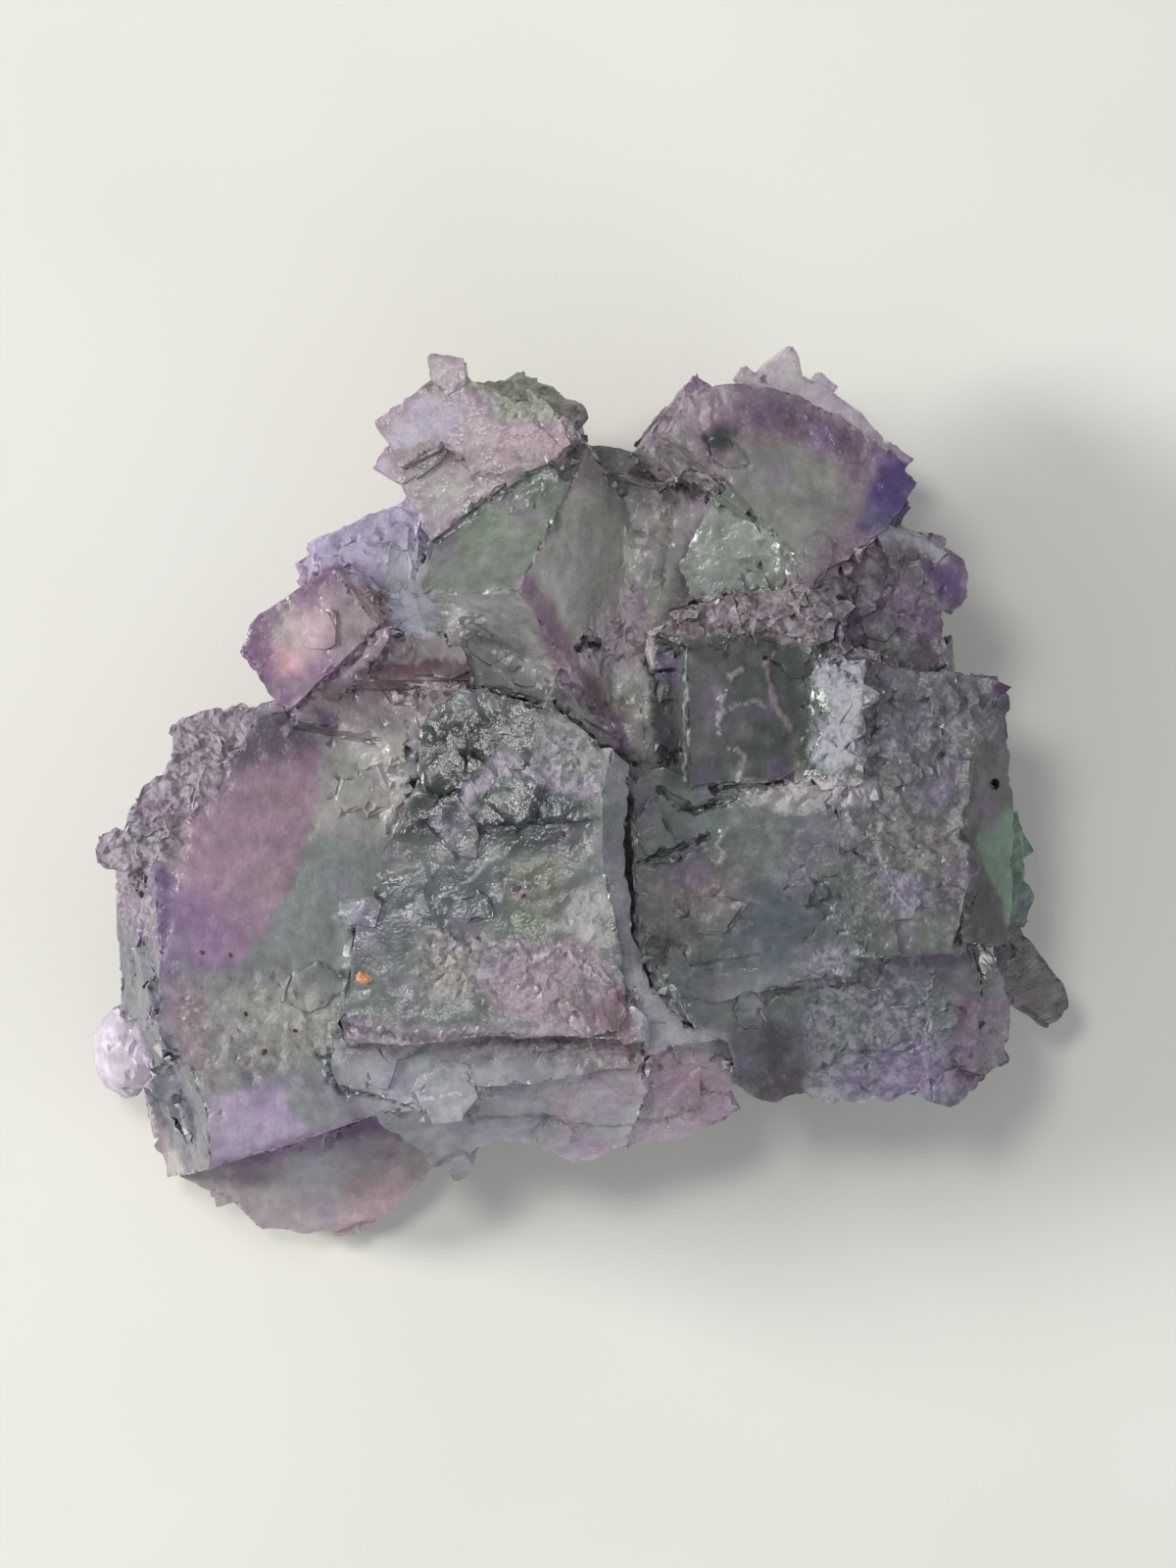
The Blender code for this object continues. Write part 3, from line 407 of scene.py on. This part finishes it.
# Strokes: name, colour, half width, strength, height, points.
STROKES = (
    ("black_pit", (10, 10, 11), 0.42, 1.0, -0.8, ((-0.35, 9.7), (0.05, 10.1), (0.35, 9.9))),
    ("east_pit", (16, 14, 14), 0.2, 1.0, -0.4, ((28.9, 0.1), (29.2, -0.1))),
    ("crack_west", (42, 46, 48), 0.1, 0.8, -0.15,
     ((5.1, -0.4), (6.2, -1.7), (7.6, -2.0), (9.3, -1.7), (10.7, -0.9))),
    ("crack_low", (50, 54, 56), 0.09, 0.7, -0.12,
     ((3.6, -5.9), (5.2, -5.6), (6.6, -5.2), (8.6, -4.4))),
    ("crack_ledge", (58, 58, 62), 0.12, 0.7, -0.15,
     ((4.9, 10.4), (7.1, 9.6), (10.0, 10.0), (12.9, 10.9))),
    # A painted highlight: a pale line along the cube's upright edge.
    ("cube_edge_highlight", (196, 202, 204), 0.1, 0.7, 0.1, ((6.8, 9.5), (6.9, 5.0), (6.9, 0.2))),
    ("loop", (168, 163, 158), 0.13, 0.8, 0.15,
     ((11.2, 8.2), (10.2, 7.6), (9.5, 5.7), (9.3, 3.6), (9.6, 2.6), (10.4, 2.4))),
    ("loop_top", (160, 156, 150), 0.12, 0.7, 0.12,
     ((9.4, 5.0), (10.4, 5.6), (12.0, 5.8), (13.4, 5.2))),
    ("pink_vein", (172, 150, 156), 0.17, 0.65, 0.1,
     ((13.2, 9.4), (12.6, 8.4), (13.0, 7.0), (13.2, 5.6), (13.8, 4.8), (14.5, 3.8))),
    ("white_vein", (170, 162, 166), 0.15, 0.65, 0.1,
     ((10.5, 2.6), (11.2, 2.0), (10.7, 0.9), (10.9, -0.4))),
    ("lower_vein", (168, 160, 160), 0.2, 0.8, 0.15,
     ((9.6, -3.2), (9.2, -4.4), (9.8, -5.2), (9.2, -5.6))),
    ("east_vein", (168, 162, 164), 0.2, 0.7, 0.15,
     ((20.6, -2.6), (20.4, -4.6), (21.4, -6.4), (22.0, -8.2), (23.4, -9.2))),
    ("slant_vein", (142, 146, 146), 0.12, 0.7, 0.1,
     ((14.6, -4.6), (15.6, -6.8), (17.4, -9.0), (18.6, -10.8))),
    ("streak", (178, 182, 184), 0.18, 0.85, 0.12,
     ((-10.4, -7.9), (-8.6, -7.0), (-7.2, -5.6), (-5.7, -4.9))),
    ("streak_west", (152, 158, 158), 0.1, 0.7, 0.08,
     ((-16.1, -7.5), (-14.4, -6.4), (-12.1, -5.7))),
    ("heart_break", (186, 176, 184), 0.25, 0.8, 0.25,
     ((-11.4, -10.4), (-10.0, -10.7), (-8.6, -11.8), (-7.1, -11.3), (-5.0, -11.4),
      (-3.9, -12.5), (-1.8, -11.4), (0.0, -13.2), (1.8, -14.3))),
    ("terrace_shadow", (82, 72, 84), 0.4, 0.6, -0.15,
     ((-17.5, -17.1), (-12.0, -18.0), (-7.0, -17.8), (-2.9, -18.2), (1.8, -18.0))),
    ("corner_line", (58, 68, 76), 0.14, 0.8, -0.15,
     ((-19.3, -19.3), (-18.5, -19.6), (-18.4, -21.2), (-17.9, -21.9), (-15.4, -22.1))),
    ("front_curve", (66, 74, 80), 0.14, 0.7, -0.1,
     ((-15.4, -25.1), (-14.3, -26.4), (-12.5, -27.7), (-11.1, -28.2))),
    ("front_flow", (180, 176, 184), 0.16, 0.6, 0.15,
     ((-13.6, -22.8), (-9.0, -22.2), (-4.0, -22.8), (0.0, -22.0), (4.4, -22.6))),
    ("front_flow_low", (112, 100, 114), 0.16, 0.6, -0.15,
     ((-8.6, -24.2), (-4.0, -23.8), (0.6, -24.8), (5.0, -24.4), (8.2, -23.4))),
    ("slab_edge", (214, 204, 200), 0.2, 0.7, 0.1, ((-14.0, -27.2), (-13.7, -28.9), (-14.3, -30.4))),
    ("cube_line", (192, 172, 184), 0.2, 0.8, 0.1, ((-17.7, 15.0), (-16.1, 14.0), (-14.9, 11.8))),
    ("rose_line", (202, 192, 186), 0.13, 0.8, 0.1,
     ((-0.6, -16.2), (0.0, -17.4), (0.3, -18.8), (0.9, -20.0))),
    ("recess_vein", (196, 168, 196), 0.2, 0.8, 0.15,
     ((3.7, 14.4), (3.9, 13.0), (3.6, 11.6), (2.4, 10.8), (1.6, 10.0))),
)


def srgb(red, green, blue):
    """A colour of the tables, 0 to 255 as a screen shows it, as linear numbers."""
    linear = []
    for value in (red, green, blue):
        v = value / 255
        linear.append(v / 12.92 if v <= 0.04045 else ((v + 0.055) / 1.055) ** 2.4)
    return np.array(linear)


def smooth(value):
    """0 below 0, 1 above 1, and an even ramp between them."""
    t = np.clip(value, 0, 1)
    return t * t * (3 - 2 * t)


def noise_at(points, size, offset):
    """Smooth noise, about -1 to 1, with lumps of the given size in mm."""
    shift = Vector((offset, 1.7 * offset, -offset))
    return np.array([noise.noise(Vector(p) / size + shift) for p in points])


def blocks_at(points, sizes, turn, offset):
    """A random value, 0 to 1, for each block of the given sizes in mm, turned on the display side."""
    c, s = math.cos(turn), math.sin(turn)
    turned = np.column_stack((points[:, 0] * c + points[:, 1] * s,
                              points[:, 1] * c - points[:, 0] * s, points[:, 2]))
    turned = turned / np.array(sizes) + offset
    return np.array([noise.cell(Vector(p)) for p in turned])


def segment_distance(x, y, start, end):
    """Distance of points on the display side from a straight segment."""
    run = np.subtract(end, start)
    along = np.clip(((x - start[0]) * run[0] + (y - start[1]) * run[1]) / (run @ run), 0, 1)
    return np.hypot(x - start[0] - along * run[0], y - start[1] - along * run[1])


def line_distance(x, y, points):
    """Distance of points on the display side from a line through the given points."""
    return np.min([segment_distance(x, y, a, b) for a, b in zip(points, points[1:])], axis=0)


def depth_inside(x, y, outline):
    """How far points lie inside an outline, in mm. Outside it is negative."""
    closed = outline + outline[:1]
    inside = np.zeros(len(x), bool)
    for (ax, ay), (bx, by) in zip(closed, closed[1:]):
        if ay != by:
            crosses = (ay > y) != (by > y)
            inside ^= crosses & (x < ax + (y - ay) * (bx - ax) / (by - ay))
    away = line_distance(x, y, closed)
    return np.where(inside, away, -away)


def edge_limits(middles, faces_up):
    """The longest that an edge may be, from where its middle is and whether it faces up."""
    limits = np.where(faces_up, TOP_EDGE,
                      np.where(middles[:, 2] > HIDDEN_HEIGHT, SIDE_EDGE, HIDDEN_EDGE))
    for name, colour, half_width, strength, height, points in STROKES:
        near = line_distance(middles[:, 0], middles[:, 1], points) < half_width + STROKE_NEAR
        limits[near & faces_up] = STROKE_EDGE
    return limits


def cut_finely():
    """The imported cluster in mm, joined at its corners, as small triangles of even size."""
    bm = bmesh.new()
    bm.from_mesh(CLUSTER.data)
    bmesh.ops.scale(bm, vec=(1 / MM, 1 / MM, 1 / MM), verts=bm.verts)
    bmesh.ops.remove_doubles(bm, verts=bm.verts, dist=SAME_POINT)
    bmesh.ops.dissolve_limit(bm, angle_limit=SAME_PLANE, verts=bm.verts, edges=bm.edges)
    bmesh.ops.triangulate(bm, faces=bm.faces)
    for coarse in CUT_LENGTHS:
        flat = [edge for edge in bm.edges if edge.calc_face_angle(math.pi) < SAME_PLANE]
        bmesh.ops.beautify_fill(bm, faces=bm.faces, edges=flat)
        bm.normal_update()
        edges = list(bm.edges)
        ends = np.array([[v.co[:] for v in edge.verts] for edge in edges])
        faces_up = np.array([any(face.normal.z > 0.1 for face in edge.link_faces) for edge in edges])
        limits = np.maximum(coarse, edge_limits(ends.mean(axis=1), faces_up))
        lengths = np.linalg.norm(ends[:, 1] - ends[:, 0], axis=1)
        too_long = [edges[i] for i in np.flatnonzero(lengths > limits)]
        bmesh.ops.subdivide_edges(bm, edges=too_long, cuts=1)
        bmesh.ops.triangulate(bm, faces=[face for face in bm.faces if len(face.verts) > 3])
    return bm


def spread(heights, radius, pick):
    """The highest or lowest height within a radius of each cell of a height map."""
    reach = int(radius)
    wide = np.pad(heights, reach, mode="edge")
    rows, columns = heights.shape
    result = heights.copy()
    for i in range(-reach, reach + 1):
        for j in range(-reach, reach + 1):
            if math.hypot(i, j) <= radius:
                part = wide[reach + i:reach + i + rows, reach + j:reach + j + columns]
                result = pick(result, part)
    return result


def heal_clefts(bm):
    """Lifts the floors and walls of clefts too narrow for the stone to have, seen from above."""
    surface = BVHTree.FromBMesh(bm)
    columns = np.arange(CAD_LOW[0], CAD_HIGH[0] + HEAL_PITCH, HEAL_PITCH)
    rows = np.arange(CAD_LOW[1], CAD_HIGH[1] + HEAL_PITCH, HEAL_PITCH)
    top = CAD_HIGH[2] + 1
    heights = np.zeros((len(rows), len(columns)))
    for i, y in enumerate(rows):
        for j, x in enumerate(columns):
            spot = surface.ray_cast(Vector((x, y, top)), Vector((0, 0, -1)))[0]
            heights[i, j] = spot.z if spot else 0
    radius = HEAL_RADIUS / HEAL_PITCH
    closed = spread(spread(heights, radius, np.maximum), radius, np.minimum)
    deep = closed - heights
    cleft = (deep > HEAL_DEPTH) & (deep < HEAL_MOST) & (heights > HEAL_LOWEST)
    near_cleft = spread(cleft.astype(float), 1.5, np.maximum) > 0
    inside = spread(heights, HEAL_RIM, np.minimum) > HEAL_LOWEST
    for vert in bm.verts:
        i = round((vert.co.y - CAD_LOW[1]) / HEAL_PITCH)
        j = round((vert.co.x - CAD_LOW[0]) / HEAL_PITCH)
        target = closed[i, j] - HEAL_DEPTH
        lifts = HEAL_LOWEST < vert.co.z < target and vert.co.z > target - HEAL_MOST
        if near_cleft[i, j] and inside[i, j] and lifts:
            vert.co.z = target


def worn_corners(bm):
    """For each vertex, 1 on an edge that stands out of the stone, 0 elsewhere."""
    worn = np.zeros(len(bm.verts))
    for edge in bm.edges:
        if edge.calc_face_angle_signed(0) > EDGE_ANGLE:
            for vert in edge.verts:
                worn[vert.index] = 1
    return worn


def paint(points):
    """Tint, frost, grain and ledges of each vertex, as six columns, from the zones above it."""
    x = points[:, 0] + ZONE_WARP * noise_at(points, 1.6, 3.1) + 0.3 * ZONE_WARP * noise_at(points, 0.4, 4.4)
    y = points[:, 1] + ZONE_WARP * noise_at(points, 1.6, 7.7) + 0.3 * ZONE_WARP * noise_at(points, 0.4, 9.2)
    rows = [np.array((*srgb(*colour), frost, grain, ledge))
            for name, colour, soft, frost, grain, ledge, outline in ZONES]
    depths = [depth_inside(x, y, zone[-1]) for zone in ZONES]
    weights = np.array([np.exp(np.minimum(depth, 0) / ZONE_REACH) for depth in depths])
    values = weights.T @ np.array(rows) / weights.sum(axis=0)[:, None]
    for zone, row, depth in zip(ZONES, rows, depths):
        cover = smooth(depth / (ZONE_SOFT * zone[2]) + 0.5)[:, None]
        values = values * (1 - cover) + cover * row
    grey = values[:, :3].mean(axis=1)[:, None]
    values[:, :3] = grey + TINT_STRENGTH * (values[:, :3] - grey)
    for size, offset, share, colour in CLOUDS:
        cover = share * smooth((noise_at(points, size, offset) - 0.1) / 0.5)[:, None]
        values[:, :3] = values[:, :3] * (1 - cover) + cover * srgb(*colour)
    banks = 1 + 0.16 * noise_at(points, 4.0, 61.0) + 0.12 * noise_at(points, 1.7, 67.0)
    values[:, :3] *= banks[:, None]
    return values


def draw_strokes(points, seen, values):
    """Draws the veins and cracks into the tints, and gives the height that they add."""
    x = points[:, 0] + STROKE_WARP * noise_at(points, 0.7, 12.3)
    y = points[:, 1] + STROKE_WARP * noise_at(points, 0.7, 15.9)
    raised = np.zeros(len(points))
    thin = 0.75 + 0.6 * noise_at(points, 1.3, 21.5)
    for name, colour, half_width, strength, height, line in STROKES:
        away = line_distance(x, y, line)
        cover = strength * seen * smooth(1.5 - away / (half_width * np.clip(thin, 0.25, 1.4)))
        values[:, :3] = values[:, :3] * (1 - cover[:, None]) + cover[:, None] * srgb(*colour)
        raised += height * cover
    return raised


def relief(points, values, worn):
    """How far each vertex goes out along its normal: steps, crumbs, chips and fine roughness."""
    frost, grain, ledge = values[:, 3], values[:, 4], values[:, 5]
    steps = sum(height * (blocks_at(points, sizes, math.radians(turn), offset) - 0.5)
                for height, sizes, turn, offset in LEDGE_BLOCKS)
    patchy = smooth(0.55 + 1.1 * noise_at(points, 5.0, 31.0))
    crumbs = sum(height * (blocks_at(points, (size, size, size), math.radians(turn), offset) - 0.6)
                 for height, size, turn, offset in CRUMB_BLOCKS)
    rough = FINE_HEIGHT * noise_at(points, 0.9, 41.0) + 0.5 * FINE_HEIGHT * noise_at(points, 0.35, 44.0)
    swell = SWELL_HEIGHT * noise_at(points, 6.0, 47.0)
    chips = CHIP_DEPTH * np.clip(noise_at(points, 1.1, 51.0) + 0.25, 0, 1)
    return (steps * patchy * ledge + crumbs * grain + rough * (0.4 + frost + grain) + swell
            - chips * worn)


def stone():
    """The cluster's surface, with its relief and its zones, as one mesh."""
    bm = cut_finely()
    heal_clefts(bm)
    bm.normal_update()
    bm.verts.index_update()
    points = np.array([vert.co[:] for vert in bm.verts])
    normals = np.array([vert.normal[:] for vert in bm.verts])
    triangles = [[vert.index for vert in face.verts] for face in bm.faces]
    worn = worn_corners(bm)
    bm.free()

    seen = smooth(normals[:, 2] / 0.3) * (points[:, 2] > HIDDEN_HEIGHT)
    values = paint(points)
    raised = draw_strokes(points, seen, values)
    outward = (relief(points, values, worn) + raised) * smooth(points[:, 2] / BASE_FREE)
    moved = points + normals * outward[:, None]
    moved = np.clip(moved, CAD_LOW + KEEP_IN * (points > CAD_LOW + 1e-4), CAD_HIGH - KEEP_IN)
    moved[:, 2] = np.where(points[:, 2] < 1e-4, 0, moved[:, 2])

    mesh = bpy.data.meshes.new("fluorite_stone")
    mesh.from_pydata(moved * MM, [], triangles)
    mesh.update()
    for column, name in enumerate(("red", "green", "blue", "frost", "grain")):
        attribute = mesh.attributes.new(name, "FLOAT", "POINT")
        attribute.data.foreach_set("value", values[:, column])
    mesh.polygons.foreach_set("use_smooth", np.ones(len(triangles), bool))
    mesh.set_sharp_from_angle(angle=SHARP_ANGLE)
    obj = bpy.data.objects.new("fluorite_stone", mesh)
    bpy.context.scene.collection.objects.link(obj)
    return obj


class Tree:
    """A material's nodes, with one short call for each kind."""

    def __init__(self, name):
        self.material = bpy.data.materials.new(name)
        self.material.use_nodes = True
        self.tree = self.material.node_tree
        self.shader = self.tree.nodes["Principled BSDF"]
        self.output = self.tree.nodes["Material Output"]
        self.place = self.add("ShaderNodeTexCoord").outputs["Object"]

    def add(self, kind, **settings):
        node = self.tree.nodes.new(kind)
        for key, value in settings.items():
            setattr(node, key, value)
        return node

    def put(self, socket, value):
        """Gives a socket a value, or links it to another node's output."""
        if isinstance(value, bpy.types.NodeSocket):
            self.tree.links.new(value, socket)
        else:
            socket.default_value = value

    def attribute(self, name):
        return self.add("ShaderNodeAttribute", attribute_name=name).outputs["Fac"]

    def colour(self, red, green, blue):
        node = self.add("ShaderNodeCombineColor")
        for socket, value in zip(node.inputs, (red, green, blue)):
            self.put(socket, value)
        return node.outputs["Color"]

    def noise(self, size, detail=2.0, stretch=(1, 1, 1), turn=0.0):
        """Noise with lumps of a size in mm, which may be stretched and turned."""
        mapping = self.add("ShaderNodeMapping")
        self.put(mapping.inputs["Vector"], self.place)
        mapping.inputs["Scale"].default_value = [1 / (size * MM * s) for s in stretch]
        mapping.inputs["Rotation"].default_value = (0, 0, turn)
        node = self.add("ShaderNodeTexNoise")
        self.put(node.inputs["Vector"], mapping.outputs["Vector"])
        node.inputs["Scale"].default_value = 1.0
        node.inputs["Detail"].default_value = detail
        return node.outputs["Fac"]

    def grains(self, size, output="Distance", feature="F1"):
        """Cells of a size in mm."""
        node = self.add("ShaderNodeTexVoronoi", feature=feature)
        self.put(node.inputs["Vector"], self.place)
        node.inputs["Scale"].default_value = 1 / (size * MM)
        return node.outputs[output]

    def math(self, operation, a, b=0.0, clamp=False):
        node = self.add("ShaderNodeMath", operation=operation, use_clamp=clamp)
        self.put(node.inputs[0], a)
        self.put(node.inputs[1], b)
        return node.outputs[0]

    def range(self, value, low, high, to_low=0.0, to_high=1.0):
        """The value's range low to high, moved to another range and kept in it."""
        node = self.add("ShaderNodeMapRange")
        self.put(node.inputs["Value"], value)
        for name, number in (("From Min", low), ("From Max", high), ("To Min", to_low), ("To Max", to_high)):
            node.inputs[name].default_value = number
        return node.outputs["Result"]

    def mix(self, amount, a, b, blend="MIX"):
        """Mixes two colours; each is a node's output or four numbers."""
        node = self.add("ShaderNodeMix", data_type="RGBA", blend_type=blend)
        factor, first, second = (s for s in node.inputs if s.enabled)
        self.put(factor, amount)
        self.put(first, a)
        self.put(second, b)
        return next(s for s in node.outputs if s.enabled)

    def bump(self, height, distance, strength):
        node = self.add("ShaderNodeBump")
        self.put(node.inputs["Height"], height)
        node.inputs["Distance"].default_value = distance * MM
        node.inputs["Strength"].default_value = strength
        return node.outputs["Normal"]


def colour_of(red, green, blue):
    """A table colour as a node's four numbers."""
    return (*srgb(red, green, blue), 1.0)


def stone_material():
    """Fluorite: tinted clear body, cloudy growth zones, crumbs, white frost and painted sparkle."""
    t = Tree("fluorite")
    frost, grain = t.attribute("frost"), t.attribute("grain")
    mottle = t.noise(0.9, 3)
    speck = t.noise(0.28, 2)
    light = t.range(mottle, 0.3, 0.7, 0.84, 1.16)
    grit = t.math("MULTIPLY", t.math("SUBTRACT", speck, 0.5), t.math("ADD", t.math("MULTIPLY", grain, 1.4), 0.3))
    light = t.math("MULTIPLY", t.math("ADD", light, grit), BODY_GAIN)
    tint = t.colour(t.attribute("red"), t.attribute("green"), t.attribute("blue"))
    tint = t.mix(1.0, tint, light, "MULTIPLY")

    crust = t.math("ADD", t.math("MULTIPLY", frost, 0.8), t.math("MULTIPLY", grain, 0.35))
    ragged = t.math("ADD", t.math("MULTIPLY", mottle, 0.6), t.math("MULTIPLY", speck, 0.4))
    # Pale flecks where the surface is crusty or frosted: partly the frost's own white, partly painted sparkle
    # highlights.
    frost_and_sparkle_flecks = t.range(t.math("ADD", ragged, t.math("MULTIPLY", crust, 0.2)), 0.59, 0.68)
    frost_and_sparkle_flecks = t.math("MULTIPLY", frost_and_sparkle_flecks, t.math("ADD", crust, 0.12), clamp=True)
    tint = t.mix(t.math("MULTIPLY", frost_and_sparkle_flecks, 0.6), tint, colour_of(205, 200, 210))

    # Painted highlights: small dots of the colour are turned near-white as sparkles, and made smoother.
    painted_glint = t.range(t.grains(0.55), 0.05, 0.12, 1.0, 0.0)
    chosen = t.range(mottle, 0.5, 0.6)
    painted_glint = t.math("MULTIPLY", t.math("MULTIPLY", painted_glint, chosen), t.math("ADD", crust, 0.12), clamp=True)
    tint = t.mix(painted_glint, tint, colour_of(250, 250, 252))
    t.put(t.shader.inputs["Base Color"], tint)

    rough = t.math("ADD", t.math("MULTIPLY", crust, 0.35), t.range(mottle, 0.3, 0.7, 0.14, 0.3))
    rough = t.math("SUBTRACT", rough, t.math("MULTIPLY", painted_glint, 0.3), clamp=True)
    t.put(t.shader.inputs["Roughness"], rough)
    t.shader.inputs["IOR"].default_value = FLUORITE_IOR
    t.shader.inputs["Transmission Weight"].default_value = CLARITY
    fine = t.math("ADD", t.math("MULTIPLY", speck, t.math("ADD", crust, 0.35)), mottle)
    t.put(t.shader.inputs["Normal"], t.bump(fine, 0.12, 0.6))

    absorb = t.add("ShaderNodeVolumeAbsorption")
    absorb.inputs["Color"].default_value = colour_of(*BODY_COLOUR)
    absorb.inputs["Density"].default_value = BODY_DENSITY
    t.tree.links.new(absorb.outputs["Volume"], t.output.inputs["Volume"])
    return t.material


def grain_material(name, low, high, rough):
    """An opaque grain: two colours in patches, with a rough broken surface."""
    t = Tree(name)
    patches = t.range(t.noise(0.35, 4), 0.35, 0.65)
    t.put(t.shader.inputs["Base Color"], t.mix(patches, colour_of(*low), colour_of(*high)))
    t.put(t.shader.inputs["Roughness"], t.range(t.noise(0.2, 3), 0.3, 0.7, rough - 0.15, rough + 0.15))
    t.put(t.shader.inputs["Normal"], t.bump(t.noise(0.15, 3), 0.08, 0.6))
    return t.material


def chips(name, places, surface, material, choose):
    """Small broken grains sunk into the stone's surface, joined in one mesh.
    Each place is x, y, length, width and height in mm."""
    bm = bmesh.new()
    for x, y, length, width, height in places:
        hit, spot, normal, index = surface.ray_cast(
            Vector((x * MM, y * MM, 2 * CAD_HIGH[2] * MM)), Vector((0, 0, -1)))
        if not hit:
            continue
        grain = bmesh.ops.create_icosphere(bm, subdivisions=2, radius=0.5)["verts"]
        offset = Vector((x, y, choose.uniform(0, 9)))
        for vert in grain:
            vert.co *= 1 + 0.35 * noise.noise(vert.co * 2.6 + offset)
        size = Matrix.Diagonal((length * MM, width * MM, height * MM, 1))
        turn = Matrix.Rotation(choose.uniform(0, math.pi), 4, "Z")
        lie = normal.to_track_quat("Z", "Y").to_matrix().to_4x4()
        bmesh.ops.transform(bm, matrix=Matrix.Translation(spot) @ lie @ turn @ size, verts=grain)
    mesh = bpy.data.meshes.new(name)
    bm.to_mesh(mesh)
    bm.free()
    obj = bpy.data.objects.new(name, mesh)
    bpy.context.scene.collection.objects.link(obj)
    mesh.materials.append(material)
    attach(obj, "root")
    return obj


def floor():
    """A plain pale floor under the stone."""
    bpy.ops.mesh.primitive_plane_add(size=FLOOR_SIZE, location=(0, 0, -FLOOR_GAP))
    obj = bpy.context.object
    obj.name = "floor"
    t = Tree("floor")
    tone = t.range(t.noise(40, 2), 0.3, 0.7)
    t.put(t.shader.inputs["Base Color"], t.mix(tone, colour_of(*FLOOR_LOW), colour_of(*FLOOR_HIGH)))
    t.shader.inputs["Roughness"].default_value = 0.6
    obj.data.materials.append(t.material)


def area_light(name, place, size, power, colour):
    """A soft light that points at the stone."""
    light = bpy.data.lights.new(name, "AREA")
    light.shape = "DISK"
    light.size = size
    light.energy = power
    light.color = colour
    obj = bpy.data.objects.new(name, light)
    obj.location = place
    obj.rotation_euler = (Vector((0, 0, 0.01)) - Vector(place)).to_track_quat("-Z", "Y").to_euler()
    bpy.context.scene.collection.objects.link(obj)


def lights():
    """A low soft light from the left, a small one from above and an even pale surrounding."""
    area_light("key", (-0.62, 0.10, 0.36), 0.22, KEY_POWER, (1.0, 0.985, 0.96))
    area_light("top", (-0.14, 0.16, 0.75), 0.14, TOP_POWER, (1.0, 0.99, 0.97))
    area_light("fill", (0.55, -0.45, 0.25), 0.6, FILL_POWER, (0.96, 0.97, 1.0))
    world = bpy.data.worlds.new("studio")
    world.use_nodes = True
    background = world.node_tree.nodes["Background"]
    background.inputs["Color"].default_value = (0.93, 0.95, 1.0, 1)
    background.inputs["Strength"].default_value = SKY_STRENGTH
    bpy.context.scene.world = world


def camera():
    """Straight down on the display side, as the photograph looks."""
    data = bpy.data.cameras.new("camera")
    data.lens = LENS
    data.sensor_width = 36
    data.clip_start = 0.01
    obj = bpy.data.objects.new("camera", data)
    obj.location = (0, 0, CAMERA_HEIGHT)
    bpy.context.scene.collection.objects.link(obj)
    bpy.context.scene.camera = obj


bpy.context.scene.view_settings.view_transform = "Standard"
camera()
lights()
floor()
body = stone()
body.data.materials.append(stone_material())
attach(body, "root")
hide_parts("fluorite_cluster")

choice = random.Random(SEED)
bpy.context.view_layer.update()
ochre = chips("ochre_grain", OCHRE, body, grain_material("ochre", (176, 118, 76), (214, 160, 118), 0.6), choice)
brown = chips("brown_specks", SPECKS, body, grain_material("brown", (46, 30, 26), (96, 56, 44), 0.55), choice)
